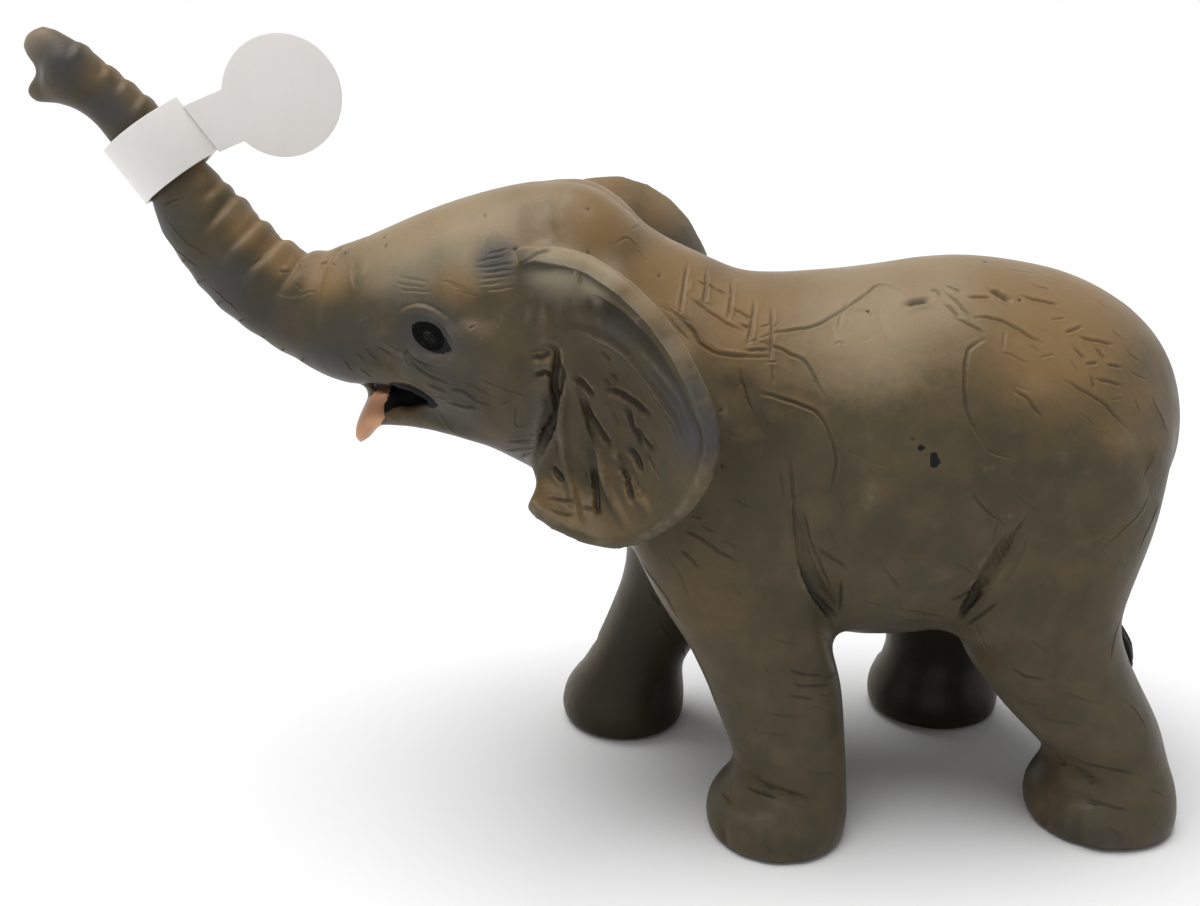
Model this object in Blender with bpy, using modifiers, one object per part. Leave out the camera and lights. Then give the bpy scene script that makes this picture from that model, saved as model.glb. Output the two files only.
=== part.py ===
"""Elephant calf figure in painted soft plastic, with a tag strip looped round its raised trunk.

The animal is sculpted as one skin over lofted masses, then parted along its mould seams into
pieces that seat on pegs, tongues and a groove. The tag's loop turns round the trunk, and its
flag bends where it leaves the loop. The animal looks towards -X and stands on the floor.
"""

import math

import bpy
import bmesh
from mathutils import Matrix, Vector

MM = 0.001

# Gap that seated pieces keep, and how far a cutter runs past what it cuts
CLEARANCE = 0.3 * MM
OVERRUN = 1.0 * MM

# Barrel of the body, from the chest back to the rump
CHEST_X = -2.5 * MM
BODY_LENGTH = 49.1 * MM
BODY_DEPTH = 33.0 * MM
BODY_WIDTH = 28.8 * MM

# Head and neck, from inside the shoulders forward to the root of the trunk
NECK_OVERLAP = 10.5 * MM
HEAD_LENGTH = 34.0 * MM
HEAD_DEPTH = 33.2 * MM
HEAD_WIDTH = 22.0 * MM
HEAD_TURN = math.radians(-6)

# Lower jaw and its raised lip
JAW_LENGTH = 12.8 * MM
JAW_WIDTH = 14.4 * MM
JAW_DEPTH = 6.8 * MM
LIP_HEIGHT = 6.4 * MM
LIP_WIDTH = 6.6 * MM
TONGUE_LENGTH = 6.6 * MM
TONGUE_WIDTH = 4.8 * MM
TONGUE_HEIGHT = 2.6 * MM
LIP_THICKNESS = 2.0 * MM

# Trunk, from inside the face to its tip
TRUNK_REACH = 28.5 * MM
TRUNK_RISE = 19.6 * MM
TRUNK_ROOT_RADIUS = 6.0 * MM
RING_PITCH = 2.2 * MM
RING_HEIGHT = 0.3 * MM
RING_SHARPNESS = 0.6
RING_BIAS = 0.7

# Ears
EAR_LENGTH = 13.6 * MM
EAR_SPREAD = 10.0 * MM
EAR_HALF_HEIGHT = 11.2 * MM
EAR_THICKNESS = 1.3 * MM
EAR_TONGUE = 2.0 * MM
EAR_HOLLOW = 2.2 * MM
EAR_FOLD = 0.5 * MM
EAR_ROLL = 1.0 * MM
FAR_EAR_RAISE = 2.6 * MM
FAR_EAR_SWEEP = 1.0 * MM

# Legs, from the hips and shoulders down to the soles. The body and the head stand on the hips' height
HIP_HEIGHT = 34.0 * MM
BELLY_SHARE = 0.42
THROAT_SHARE = 0.60
LEG_RADIUS = 9.0 * MM
FOOT_SPREAD = 10.5 * MM
FRONT_LEFT_X = 11.75 * MM
FRONT_RIGHT_X = 0.25 * MM
HIND_LEFT_X = 40.2 * MM
HIND_RIGHT_X = 31.2 * MM

# Tail, from inside the rump down to the end of its tuft
TAIL_DROP = 29.5 * MM
TAIL_RADIUS = 0.95 * MM

# Eye hollows, and creases of the skin
EYE_RADIUS = 1.3 * MM
EYE_DEPTH = 0.8 * MM
CREASE_WIDTH = 0.8 * MM
CREASE_DEPTH = 0.7 * MM
DENT_REACH = 3

# Pegs that hold the mouldings together
LEG_PEG_RADIUS = 2.2 * MM
LEG_PEG_LENGTH = 3.5 * MM
NECK_PEG_RADIUS = 3.2 * MM
NECK_PEG_LENGTH = 4.0 * MM
TRUNK_PEG_RADIUS = 2.2 * MM
TRUNK_PEG_LENGTH = 3.5 * MM
JAW_PEG_RADIUS = 0.8 * MM
JAW_PEG_LENGTH = 1.8 * MM

# Tag strip: a loop round the trunk, and a flag with a disc
STRIP_THICKNESS = 0.35 * MM
BAND_WIDTH = 5.2 * MM
BAND_PLAY = 0.1 * MM
BAND_LAP = 0.9 * MM
FLAG_WIDTH = 4.4 * MM
FLAG_LENGTH = 7.0 * MM
FLAG_SLIP = 0.6 * MM
DISC_RADIUS = 4.9 * MM
FLAG_DROOP = math.radians(15)

# Each row: place along the body, back line, belly line, half-width
TORSO_SHARES = (
    (0.00, 0.90, 0.385, 0.56), (0.05, 0.98, 0.25, 0.76), (0.13, 1.00, 0.11, 0.89),
    (0.26, 0.96, 0.03, 0.96), (0.43, 0.97, 0.00, 0.99), (0.59, 1.00, 0.005, 1.00),
    (0.71, 0.985, 0.06, 0.97), (0.82, 0.943, 0.16, 0.875), (0.92, 0.855, 0.29, 0.63),
    (0.98, 0.745, 0.40, 0.385), (1.00, 0.63, 0.49, 0.17),
)
HEAD_SHARES = (
    (0.00, 0.79, 0.05, 0.91), (0.10, 0.835, 0.005, 0.98), (0.195, 0.885, 0.035, 1.00),
    (0.315, 0.975, 0.11, 0.965), (0.445, 1.00, 0.24, 0.93), (0.60, 0.97, 0.325, 0.84),
    (0.745, 0.92, 0.415, 0.72), (0.845, 0.875, 0.46, 0.63), (0.92, 0.845, 0.465, 0.565),
    (1.00, 0.82, 0.505, 0.48),
)
WIDEST_SHARE = 0.44

# Each row: place along the jaw, its middle and half-depth as shares of the depth, half-width
JAW_SHARES = (
    (0.00, 0.00, 0.50, 1.00), (0.31, -0.01, 0.34, 0.89), (0.62, 0.03, 0.235, 0.70),
    (0.86, 0.00, 0.17, 0.56), (1.00, -0.01, 0.18, 0.47),
)
JAW_ROOT_SHARES = (0.50, 0.41)
LIP_SHARES = (1.03, -0.06)
LIP_SLANT = math.radians(28)
TONGUE_SHARES = (0.77, 0.17)

# Each row: reach, rise and radius of the trunk. The band sits at BAND_ROW
TRUNK_SHARES = (
    (0.00, 0.00, 1.10), (0.18, -0.03, 1.00), (0.263, -0.015, 0.85), (0.36, 0.03, 0.71),
    (0.475, 0.143, 0.665), (0.56, 0.29, 0.625), (0.625, 0.42, 0.565), (0.648, 0.495, 0.51),
    (0.663, 0.53, 0.445), (0.72, 0.643, 0.435), (0.78, 0.763, 0.425), (0.835, 0.85, 0.385),
    (0.90, 0.924, 0.39), (0.955, 0.97, 0.455), (1.00, 1.00, 0.42),
)
TRUNK_ROOT_SHARES = (0.779, 0.675)
BAND_ROW = 9
RING_ROWS = (2, 7)
FINGER_SHARES = (
    (1.014, 1.077, 0.33, 0.285), (1.042, 0.898, 0.233, 0.20),
)

# Each row: height, shift inwards, half-length and half-width of a leg
FRONT_LEG_SHARES = (
    (-0.03, 0.00, 0.65, 0.71), (0.00, 0.00, 0.67, 0.73), (0.07, 0.00, 0.69, 0.735),
    (0.125, 0.00, 0.61, 0.62), (0.17, 0.00, 0.53, 0.525), (0.24, 0.00, 0.555, 0.55),
    (0.35, 0.01, 0.62, 0.59), (0.485, 0.03, 0.695, 0.62), (0.62, 0.06, 0.83, 0.67),
    (0.79, 0.10, 0.98, 0.70), (1.00, 0.13, 1.00, 0.72),
)
HIND_LEG_SHARES = (
    (-0.03, 0.00, 0.69, 0.68), (0.00, 0.00, 0.715, 0.71), (0.08, 0.00, 0.735, 0.72),
    (0.135, 0.00, 0.64, 0.62), (0.18, 0.00, 0.56, 0.545), (0.27, 0.005, 0.67, 0.61),
    (0.38, 0.015, 0.74, 0.655), (0.53, 0.035, 0.81, 0.71), (0.65, 0.06, 0.98, 0.76),
    (0.79, 0.09, 1.13, 0.81), (1.00, 0.12, 1.22, 0.83),
)
# How far each leg's rows lie behind its foot, as shares of the hip's height
LEAN_SHARES = {
    "front_left_leg": (0.0, 0.0, 0.0, 0.015, 0.035, 0.022, -0.004, -0.04, -0.09, -0.12, -0.11),
    "front_right_leg": (0.0, 0.0, 0.0, 0.015, 0.03, 0.07, 0.13, 0.185, 0.21, 0.22, 0.23),
    "hind_left_leg": (0.005, 0.0, -0.01, 0.0, 0.0, -0.055, -0.133, -0.215, -0.222, -0.21, -0.20),
    "hind_right_leg": (0.0, 0.0, 0.0, 0.005, 0.01, 0.018, 0.024, 0.038, 0.053, 0.068, 0.082),
}
LEG_SEAM_SHARE = 0.40

# Each row of the tail: place behind the rump, aside, drop, half-length, half-width
TAIL_SHARES = (
    (-0.13, 0.03, -0.01, 0.8, 0.8), (-0.07, 0.06, 0.01, 1.0, 1.0), (-0.045, 0.115, 0.13, 1.0, 1.0),
    (-0.084, 0.15, 0.29, 0.95, 0.95), (-0.102, 0.156, 0.47, 0.85, 0.85), (-0.106, 0.15, 0.65, 0.75, 0.75),
    (-0.055, 0.135, 0.79, 0.85, 0.7), (0.008, 0.12, 0.91, 1.15, 0.8), (0.035, 0.105, 1.00, 0.5, 0.4),
)
TAIL_ROOT_SHARE = 0.67

# Ear outlines. Root: length and height. Rim: length, spread and height
EAR_ROOT_SHARES = ((-0.17, 0.79), (0.0, 0.59), (0.04, 0.23), (0.0, -0.29), (-0.07, -0.70))
EAR_RIM_SHARES = (
    (-0.09, 0.20, 0.95), (0.10, 0.38, 1.00), (0.34, 0.60, 0.97), (0.61, 0.85, 0.76),
    (0.82, 0.95, 0.46), (0.96, 1.00, 0.07), (1.00, 0.95, -0.22), (0.92, 0.85, -0.55),
    (0.74, 0.70, -0.81), (0.51, 0.55, -0.99), (0.28, 0.40, -1.00), (0.04, 0.24, -0.90),
    (-0.05, 0.12, -0.82),
)
EAR_PLACE_SHARES = (0.43, 0.56)
EAR_FOLDS = 6
FOLD_START_SHARE = 0.26
ROLL_SHARPNESS = 5
EAR_COLUMNS = 18
EAR_ROWS = 8

# Eye, on the head: place along it and height
EYE_SHARES = (0.694, 0.657)

# Creases on the body's sides: places along the body and heights, as shares of the barrel.
# None reaches the middle of the belly, CREASE_FREE_SHARE of the width to either side
CREASE_FREE_SHARE = 0.17
CREASE_SHARES = (
    ((0.335, 0.36), (0.345, 0.24), (0.375, 0.12), (0.41, 0.02)),
    ((0.72, 0.34), (0.67, 0.20), (0.62, 0.10), (0.575, 0.03)),
)

# Mouth slit and jaw seam, in the head's own shares: place along it and height
MOUTH_SHARES = (
    (0.703, 0.473), (0.776, 0.50), (0.853, 0.506), (0.93, 0.488),
    (0.93, 0.472), (0.838, 0.479), (0.83, 0.443), (0.77, 0.437),
)
JAW_SEAM_SHARES = ((0.703, 0.473), (0.62, 0.27))
TRUNK_SEAM_SHARES = (0.965, 0.68)
TRUNK_SEAM_TILT = math.radians(21)
NECK_SEAM_SHARES = (0.24, 0.45)
NECK_SEAM_TILT = math.radians(12)

SIDES = 28
STEPS = 5
SKIN_TRIANGLES = 7700
GRAIN_SHARE = 0.0165
ROUGH_GRAIN_SHARE = 0.021

BELLY_HEIGHT = HIP_HEIGHT * BELLY_SHARE
THROAT_HEIGHT = HIP_HEIGHT * THROAT_SHARE
RUMP_X = CHEST_X + BODY_LENGTH
NECK_X = CHEST_X + NECK_OVERLAP
LEG_SEAM_Z = HIP_HEIGHT * LEG_SEAM_SHARE
MIDDLE_X = (FRONT_LEFT_X + HIND_RIGHT_X) / 2
HEAD_POSE = (Matrix.Translation((NECK_X, 0, 0)) @ Matrix.Rotation(HEAD_TURN, 4, "Z")
             @ Matrix.Translation((-NECK_X, 0, 0)))
LEGS = {
    "front_left_leg": (FRONT_LEFT_X, -1, FRONT_LEG_SHARES),
    "front_right_leg": (FRONT_RIGHT_X, 1, FRONT_LEG_SHARES),
    "hind_left_leg": (HIND_LEFT_X, -1, HIND_LEG_SHARES),
    "hind_right_leg": (HIND_RIGHT_X, 1, HIND_LEG_SHARES),
}


# Curves and lofts

def curve_at(points, place):
    """The point at a share of the way along a smooth curve through the points."""
    span = place * (len(points) - 1)
    start = min(int(span), len(points) - 2)
    t = span - start
    before = points[max(start - 1, 0)]
    here = points[start]
    there = points[start + 1]
    after = points[min(start + 2, len(points) - 1)]
    return tuple(
        0.5 * (2 * b + (c - a) * t + (2 * a - 5 * b + 4 * c - d) * t * t + (3 * b - a - 3 * c + d) * t ** 3)
        for a, b, c, d in zip(before, here, there, after))


def smooth_rows(points, steps=STEPS):
    """The rows of a table, with rows between them on a smooth curve."""
    count = (len(points) - 1) * steps
    return [curve_at(points, index / count) for index in range(count + 1)]


def ring(centre, across, up, half_width, rise, drop):
    """One oval section, with its own height above and below its widest line."""
    points = []
    for index in range(SIDES):
        angle = 2 * math.pi * index / SIDES
        height = rise if math.sin(angle) > 0 else drop
        points.append(centre + across * half_width * math.cos(angle) + up * height * math.sin(angle))
    return points


def mesh_object(name, points, faces, pose=Matrix()):
    """An object from points and faces, with its faces turned outwards."""
    mesh = bpy.data.meshes.new(name)
    mesh.from_pydata([pose @ point for point in points], [], faces)
    rework = bmesh.new()
    rework.from_mesh(mesh)
    bmesh.ops.recalc_face_normals(rework, faces=rework.faces)
    rework.to_mesh(mesh)
    rework.free()
    body = bpy.data.objects.new(name, mesh)
    cutters.objects.link(body)
    return body


def loft(name, rings, pose=Matrix()):
    """A closed body through oval sections."""
    points = [point for section in rings for point in section]
    count = len(rings[0])
    faces = []
    for row in range(len(rings) - 1):
        for index in range(count):
            after = (index + 1) % count
            faces.append((row * count + index, row * count + after,
                          (row + 1) * count + after, (row + 1) * count + index))
    faces.append(tuple(reversed(range(count))))
    faces.append(tuple(range((len(rings) - 1) * count, len(rings) * count)))
    return mesh_object(name, points, faces, pose)


def prism(name, outline, half_width, pose=Matrix()):
    """An outline in the XZ plane, drawn out to both sides."""
    count = len(outline)
    points = [Vector((x, side * half_width, z)) for side in (-1, 1) for x, z in outline]
    faces = [tuple(range(count)), tuple(range(count, 2 * count))]
    for index in range(count):
        after = (index + 1) % count
        faces.append((index, after, count + after, count + index))
    return mesh_object(name, points, faces, pose)


def ellipsoid(name, centre, radii, tilt=0.0, pose=Matrix()):
    """A ball stretched along its own axes, tilted in the XZ plane."""
    bpy.ops.mesh.primitive_uv_sphere_add(segments=SIDES, ring_count=SIDES // 2, radius=1)
    body = bpy.context.active_object
    body.name = name
    stretch = Matrix.Diagonal((*radii, 1))
    body.data.transform(pose @ Matrix.Translation(centre) @ Matrix.Rotation(tilt, 4, "Y") @ stretch)
    move_to(body, cutters)
    return body


# Work on whole objects

def move_to(body, collection):
    for home in list(body.users_collection):
        home.objects.unlink(body)
    collection.objects.link(body)


def baked(body, name):
    """The body as its modifiers leave it, as a plain object in its place."""
    shown = body.evaluated_get(bpy.context.evaluated_depsgraph_get())
    mesh = bpy.data.meshes.new_from_object(shown)
    result = bpy.data.objects.new(name, mesh)
    result.matrix_world = body.matrix_world
    cutters.objects.link(result)
    bpy.data.objects.remove(body)
    return result


def combine(name, bodies):
    """One object that holds every body's mesh, each still closed by itself."""
    joined = bmesh.new()
    for body in bodies:
        joined.from_mesh(body.data)
        bpy.data.objects.remove(body)
    mesh = bpy.data.meshes.new(name)
    joined.to_mesh(mesh)
    joined.free()
    result = bpy.data.objects.new(name, mesh)
    cutters.objects.link(result)
    return result


def fused(name, bodies, grain, rounds):
    """The bodies melted into one skin, and smoothed where they meet."""
    body = combine(name, bodies)
    melt = body.modifiers.new("melt", "REMESH")
    melt.mode = "VOXEL"
    melt.voxel_size = grain
    soften = body.modifiers.new("soften", "SMOOTH")
    soften.factor = 0.5
    soften.iterations = rounds
    return baked(body, name)


def boolean(body, tool, operation):
    """Cut, join or crop a body with a tool."""
    change = body.modifiers.new(tool.name, "BOOLEAN")
    change.operation = operation
    change.solver = "EXACT"
    change.object = tool
    name = body.name
    result = baked(body, name)
    result.name = name
    bpy.data.objects.remove(tool)
    return result


def biggest_part(mesh):
    """Drop every loose part of an edit mesh but the one with the most points."""
    left = set(mesh.verts)
    parts = []
    while left:
        seed = left.pop()
        part = {seed}
        edge_of_part = [seed]
        while edge_of_part:
            point = edge_of_part.pop()
            for edge in point.link_edges:
                other = edge.other_vert(point)
                if other in left:
                    left.remove(other)
                    part.add(other)
                    edge_of_part.append(other)
        parts.append(part)
    parts.sort(key=len)
    for part in parts[:-1]:
        bmesh.ops.delete(mesh, geom=list(part), context="VERTS")


def sliced(source, name, planes):
    """The part of the skin on the far side of each plane, closed flat at the cuts."""
    work = bmesh.new()
    work.from_mesh(source.data)
    for point, normal in planes:
        everything = list(work.verts) + list(work.edges) + list(work.faces)
        bmesh.ops.bisect_plane(work, geom=everything, plane_co=point, plane_no=normal, clear_inner=True)
        rims = [edge for edge in work.edges if edge.is_boundary]
        bmesh.ops.holes_fill(work, edges=rims)
    biggest_part(work)
    bmesh.ops.recalc_face_normals(work, faces=work.faces)
    mesh = bpy.data.meshes.new(name)
    work.to_mesh(mesh)
    work.free()
    body = bpy.data.objects.new(name, mesh)
    cutters.objects.link(body)
    return body


def rod(name, start, direction, radius, length):
    """A round peg that starts at a point and runs along a direction."""
    bpy.ops.mesh.primitive_cylinder_add(vertices=SIDES // 2, radius=radius, depth=length)
    body = bpy.context.active_object
    body.name = name
    turn = direction.to_track_quat("Z", "Y").to_matrix().to_4x4()
    body.data.transform(Matrix.Translation(start) @ turn @ Matrix.Translation((0, 0, length / 2)))
    move_to(body, cutters)
    return body


def pegged(holder, receiver, point, direction, radius, length):
    """A peg on the holder, and its socket in the receiver."""
    root = point - direction * OVERRUN
    holder = boolean(holder, rod("peg", root, direction, radius, length + OVERRUN), "UNION")
    socket = rod("socket", root, direction, radius + CLEARANCE, length + OVERRUN + CLEARANCE)
    receiver = boolean(receiver, socket, "DIFFERENCE")
    return holder, receiver


# Masses of the animal

def head_spot(shares):
    """A place on the head's middle plane, before the head is turned."""
    return NECK_X - shares[0] * HEAD_LENGTH, THROAT_HEIGHT + shares[1] * HEAD_DEPTH


def barrel_rings(rows, start_x, length, floor_z, depth, width):
    """Upright sections of the body or the head."""
    rings = []
    for along, top, bottom, half in smooth_rows(rows):
        widest = bottom + WIDEST_SHARE * (top - bottom)
        centre = Vector((start_x + along * length, 0, floor_z + widest * depth))
        rings.append(ring(centre, Vector((0, 1, 0)), Vector((0, 0, 1)), half * width / 2,
                          (top - widest) * depth, (widest - bottom) * depth))
    return rings


def torso_mass():
    rings = barrel_rings(TORSO_SHARES, CHEST_X, BODY_LENGTH, BELLY_HEIGHT, BODY_DEPTH, BODY_WIDTH)
    return loft("torso mass", rings)


def head_mass():
    rings = barrel_rings(HEAD_SHARES, NECK_X, -HEAD_LENGTH, THROAT_HEIGHT, HEAD_DEPTH, HEAD_WIDTH)
    return loft("head mass", rings, HEAD_POSE)


def head_side(x, z):
    """How far out the head's surface lies, at a place on its side."""
    along = (NECK_X - x) / HEAD_LENGTH
    rows = smooth_rows(HEAD_SHARES)
    row = min(rows, key=lambda entry: abs(entry[0] - along))
    widest = row[2] + WIDEST_SHARE * (row[1] - row[2])
    height = (z - THROAT_HEIGHT) / HEAD_DEPTH - widest
    limit = row[1] - widest if height > 0 else widest - row[2]
    return row[3] * HEAD_WIDTH / 2 * math.sqrt(max(0, 1 - (height / limit) ** 2))


def jaw_masses():
    root_x, root_z = head_spot(JAW_ROOT_SHARES)
    rings = []
    for along, middle, half_depth, half_width in smooth_rows(JAW_SHARES):
        centre = Vector((root_x - along * JAW_LENGTH, 0, root_z + middle * JAW_DEPTH))
        rings.append(ring(centre, Vector((0, 1, 0)), Vector((0, 0, 1)), half_width * JAW_WIDTH / 2,
                          half_depth * JAW_DEPTH, half_depth * JAW_DEPTH))
    jaw = loft("jaw mass", rings, HEAD_POSE)
    lip_centre = (root_x - LIP_SHARES[0] * JAW_LENGTH, 0, root_z + LIP_SHARES[1] * JAW_DEPTH)
    lip = ellipsoid("lip mass", lip_centre, (LIP_THICKNESS / 2, LIP_WIDTH / 2, LIP_HEIGHT / 2),
                    LIP_SLANT, HEAD_POSE)
    return [jaw, lip]


def with_tongue(jaw):
    """The jaw with its tongue, which fills the mouth up to a gap under the palate."""
    root_x, root_z = head_spot(JAW_ROOT_SHARES)
    centre = (root_x - TONGUE_SHARES[0] * JAW_LENGTH, 0, root_z + TONGUE_SHARES[1] * JAW_DEPTH)
    tongue = ellipsoid("tongue", centre, (TONGUE_LENGTH / 2, TONGUE_WIDTH / 2, TONGUE_HEIGHT / 2),
                       0, HEAD_POSE)
    return boolean(jaw, tongue, "UNION")


def trunk_place(reach, rise):
    """A place on the trunk's middle plane, before the head is turned."""
    root_x, root_z = head_spot(TRUNK_ROOT_SHARES)
    return Vector((root_x - reach * TRUNK_REACH, 0, root_z + rise * TRUNK_RISE))


def trunk_course():
    """Points, directions and radii along the trunk."""
    rows = smooth_rows(TRUNK_SHARES)
    points = [trunk_place(reach, rise) for reach, rise, radius in rows]
    course = []
    for index, row in enumerate(rows):
        before = points[max(index - 1, 0)]
        after = points[min(index + 1, len(points) - 1)]
        course.append((points[index], (after - before).normalized(), row[2] * TRUNK_ROOT_RADIUS))
    return course


def trunk_masses():
    rings = []
    for point, direction, radius in trunk_course():
        up = direction.cross(Vector((0, 1, 0)))
        rings.append(ring(point, Vector((0, 1, 0)), up, radius, radius, radius))
    masses = [loft("trunk mass", rings, HEAD_POSE)]
    for reach, rise, long_share, high_share in FINGER_SHARES:
        long_radius = long_share * TRUNK_ROOT_RADIUS
        high_radius = high_share * TRUNK_ROOT_RADIUS
        masses.append(ellipsoid("finger mass", trunk_place(reach, rise),
                                (long_radius, high_radius, high_radius), 0, HEAD_POSE))
    return masses


def leg_mass(name):
    foot_x, side, rows = LEGS[name]
    table = [row + (lean,) for row, lean in zip(rows, LEAN_SHARES[name])]
    rings = []
    for height, inwards, half_length, half_width, lean in smooth_rows(table):
        centre = Vector((foot_x + lean * HIP_HEIGHT, side * (FOOT_SPREAD - inwards * HIP_HEIGHT),
                         height * HIP_HEIGHT))
        depth = half_width * LEG_RADIUS
        rings.append(ring(centre, Vector((1, 0, 0)), Vector((0, 1, 0)), half_length * LEG_RADIUS,
                          depth, depth))
    return loft(name + " mass", rings)


# Carving of the skin

def distance_to_line(x, z, line):
    """The distance from a place to a line of points, all in the XZ plane."""
    nearest = math.inf
    for (ax, az), (bx, bz) in zip(line, line[1:]):
        length = (bx - ax) ** 2 + (bz - az) ** 2
        share = max(0, min(1, ((x - ax) * (bx - ax) + (z - az) * (bz - az)) / length))
        nearest = min(nearest, math.hypot(x - ax - share * (bx - ax), z - az - share * (bz - az)))
    return nearest


def crease_lines():
    return [[(CHEST_X + along * BODY_LENGTH, BELLY_HEIGHT + up * BODY_DEPTH) for along, up in line]
            for line in CREASE_SHARES]


def carve(skin):
    """Press the trunk's rings, the eye hollows and the body's creases into the skin."""
    mesh = skin.data
    to_head = HEAD_POSE.inverted()
    course = trunk_course()
    lengths = [0.0]
    for (here, _, _), (there, _, _) in zip(course, course[1:]):
        lengths.append(lengths[-1] + (there - here).length)
    first, last = (row * STEPS for row in RING_ROWS)
    eye_x, eye_z = head_spot(EYE_SHARES)
    lines = crease_lines()
    seam_point, seam_normal = trunk_seam()
    shifts = []
    for point in mesh.vertices:
        spot = point.co
        own = to_head @ spot
        shift = 0.0
        if (spot - seam_point).dot(seam_normal) > 0:
            nearest = min(range(len(course)), key=lambda index: (course[index][0] - own).length)
            centre, direction, radius = course[nearest]
            if first < nearest <= last:
                along = lengths[nearest] + (own - centre).dot(direction)
                up = direction.cross(Vector((0, 1, 0)))
                upper = 0.5 + 0.5 * (own - centre).normalized().dot(up)
                wave = abs(math.sin(math.pi * along / RING_PITCH)) ** RING_SHARPNESS - RING_BIAS
                shift += RING_HEIGHT * wave * upper
        gap = math.hypot(own.x - eye_x, own.z - eye_z) / EYE_RADIUS
        if gap < DENT_REACH and own.x < NECK_X - HEAD_LENGTH / 2:
            shift += -EYE_DEPTH * math.exp(-gap ** 2) + EYE_DEPTH / 2 * math.exp(-(2 * gap) ** 2)
        if abs(spot.y) > BODY_WIDTH * CREASE_FREE_SHARE:
            for line in lines:
                away = distance_to_line(spot.x, spot.z, line) / CREASE_WIDTH
                if away < DENT_REACH:
                    shift -= CREASE_DEPTH * math.exp(-away ** 2)
        shifts.append(point.normal * shift)
    for point, shift in zip(mesh.vertices, shifts):
        point.co += shift


def thinned(skin, count):
    """The skin with fewer triangles, small where it curves most."""
    sides = sum(len(face.vertices) - 2 for face in skin.data.polygons)
    thin = skin.modifiers.new("thin", "DECIMATE")
    thin.ratio = count / sides
    return baked(skin, skin.name)


# Seams

def trunk_seam():
    x, z = head_spot(TRUNK_SEAM_SHARES)
    normal = Vector((-math.cos(TRUNK_SEAM_TILT), 0, math.sin(TRUNK_SEAM_TILT)))
    return HEAD_POSE @ Vector((x, 0, z)), HEAD_POSE.to_3x3() @ normal


def neck_seam():
    x, z = head_spot(NECK_SEAM_SHARES)
    normal = Vector((-math.cos(NECK_SEAM_TILT), 0, math.sin(NECK_SEAM_TILT)))
    return HEAD_POSE @ Vector((x, 0, z)), HEAD_POSE.to_3x3() @ normal


def leg_seam():
    return Vector((0, 0, LEG_SEAM_Z)), Vector((0, 0, 1))


def side_of(seam, forward):
    """The seam's plane, moved by half the gap, for the piece on one side of it."""
    point, normal = seam
    direction = normal if forward else -normal
    return point + direction * CLEARANCE / 2, direction


def jaw_outline(gap):
    """The jaw's outline below the mouth and before its seam, opened by a gap."""
    corner = head_spot(JAW_SEAM_SHARES[0])
    heel = head_spot(JAW_SEAM_SHARES[1])
    front = corner[0] - JAW_LENGTH
    below = THROAT_HEIGHT
    return [(corner[0] + gap, corner[1] + gap), (front, corner[1] + gap), (front, below),
            (2 * heel[0] - corner[0] + gap, below), (heel[0] + gap, heel[1])]


def jaw_heel():
    """The middle of the jaw's seam, and the way its peg runs into the head."""
    corner = Vector((*head_spot(JAW_SEAM_SHARES[0]), 0))
    heel = Vector((*head_spot(JAW_SEAM_SHARES[1]), 0))
    middle = (corner + heel) / 2
    along = (heel - corner).normalized()
    return (HEAD_POSE @ Vector((middle.x, 0, middle.y)),
            HEAD_POSE.to_3x3() @ Vector((-along.y, 0, along.x)))


# Ears

def ear_spot(x_share, z_share):
    place_x, place_z = head_spot(EAR_PLACE_SHARES)
    return place_x + x_share * EAR_LENGTH, place_z + z_share * EAR_HALF_HEIGHT


def stretched(line, margin):
    """A row of points with its two ends moved outwards."""
    first = line[0] + (line[0] - line[1]).normalized() * margin
    last = line[-1] + (line[-1] - line[-2]).normalized() * margin
    return [first] + line[1:-1] + [last]


def ear_grid(side, margin):
    """Rows of points from the ear's tongue, inside the head, out to its rim."""
    root = []
    for x_share, z_share in EAR_ROOT_SHARES:
        x, z = ear_spot(x_share, z_share)
        root.append((x, head_side(x, z), z))
    base = max(place[1] for place in root)
    raised, swept = (FAR_EAR_RAISE, FAR_EAR_SWEEP) if side > 0 else (0, 0)
    rim = []
    for x_share, y_share, z_share in EAR_RIM_SHARES:
        x, z = ear_spot(x_share, z_share)
        rim.append((x + swept * y_share, base + y_share * EAR_SPREAD, z + raised * y_share))
    face_out = Vector((-EAR_SPREAD, EAR_LENGTH, 0)).normalized()
    grid = []
    for row in range(-1, EAR_ROWS + 1):
        line = []
        v = max(row, 0) / EAR_ROWS
        for column in range(EAR_COLUMNS + 1):
            u = column / EAR_COLUMNS
            start = Vector(curve_at(root, u))
            end = Vector(curve_at(rim, u))
            middle = math.sin(math.pi * v)
            low = max(0, math.sin(math.pi * (u - FOLD_START_SHARE) / (1 - FOLD_START_SHARE)))
            lift = -EAR_HOLLOW * middle * math.sin(math.pi * u)
            lift += EAR_FOLD * math.sin(2 * math.pi * EAR_FOLDS * u) * middle * low
            lift += EAR_ROLL * v ** ROLL_SHARPNESS
            place = start.lerp(end, v) + face_out * lift
            if row < 0:
                place -= Vector((0, EAR_TONGUE, 0))
            line.append(HEAD_POSE @ Vector((place.x, side * place.y, place.z)))
        grid.append(line)
    if margin:
        grid = [stretched(line, margin) for line in grid]
        columns = [stretched(list(column), margin) for column in zip(*grid)]
        grid = list(zip(*columns))
    return grid


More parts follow.
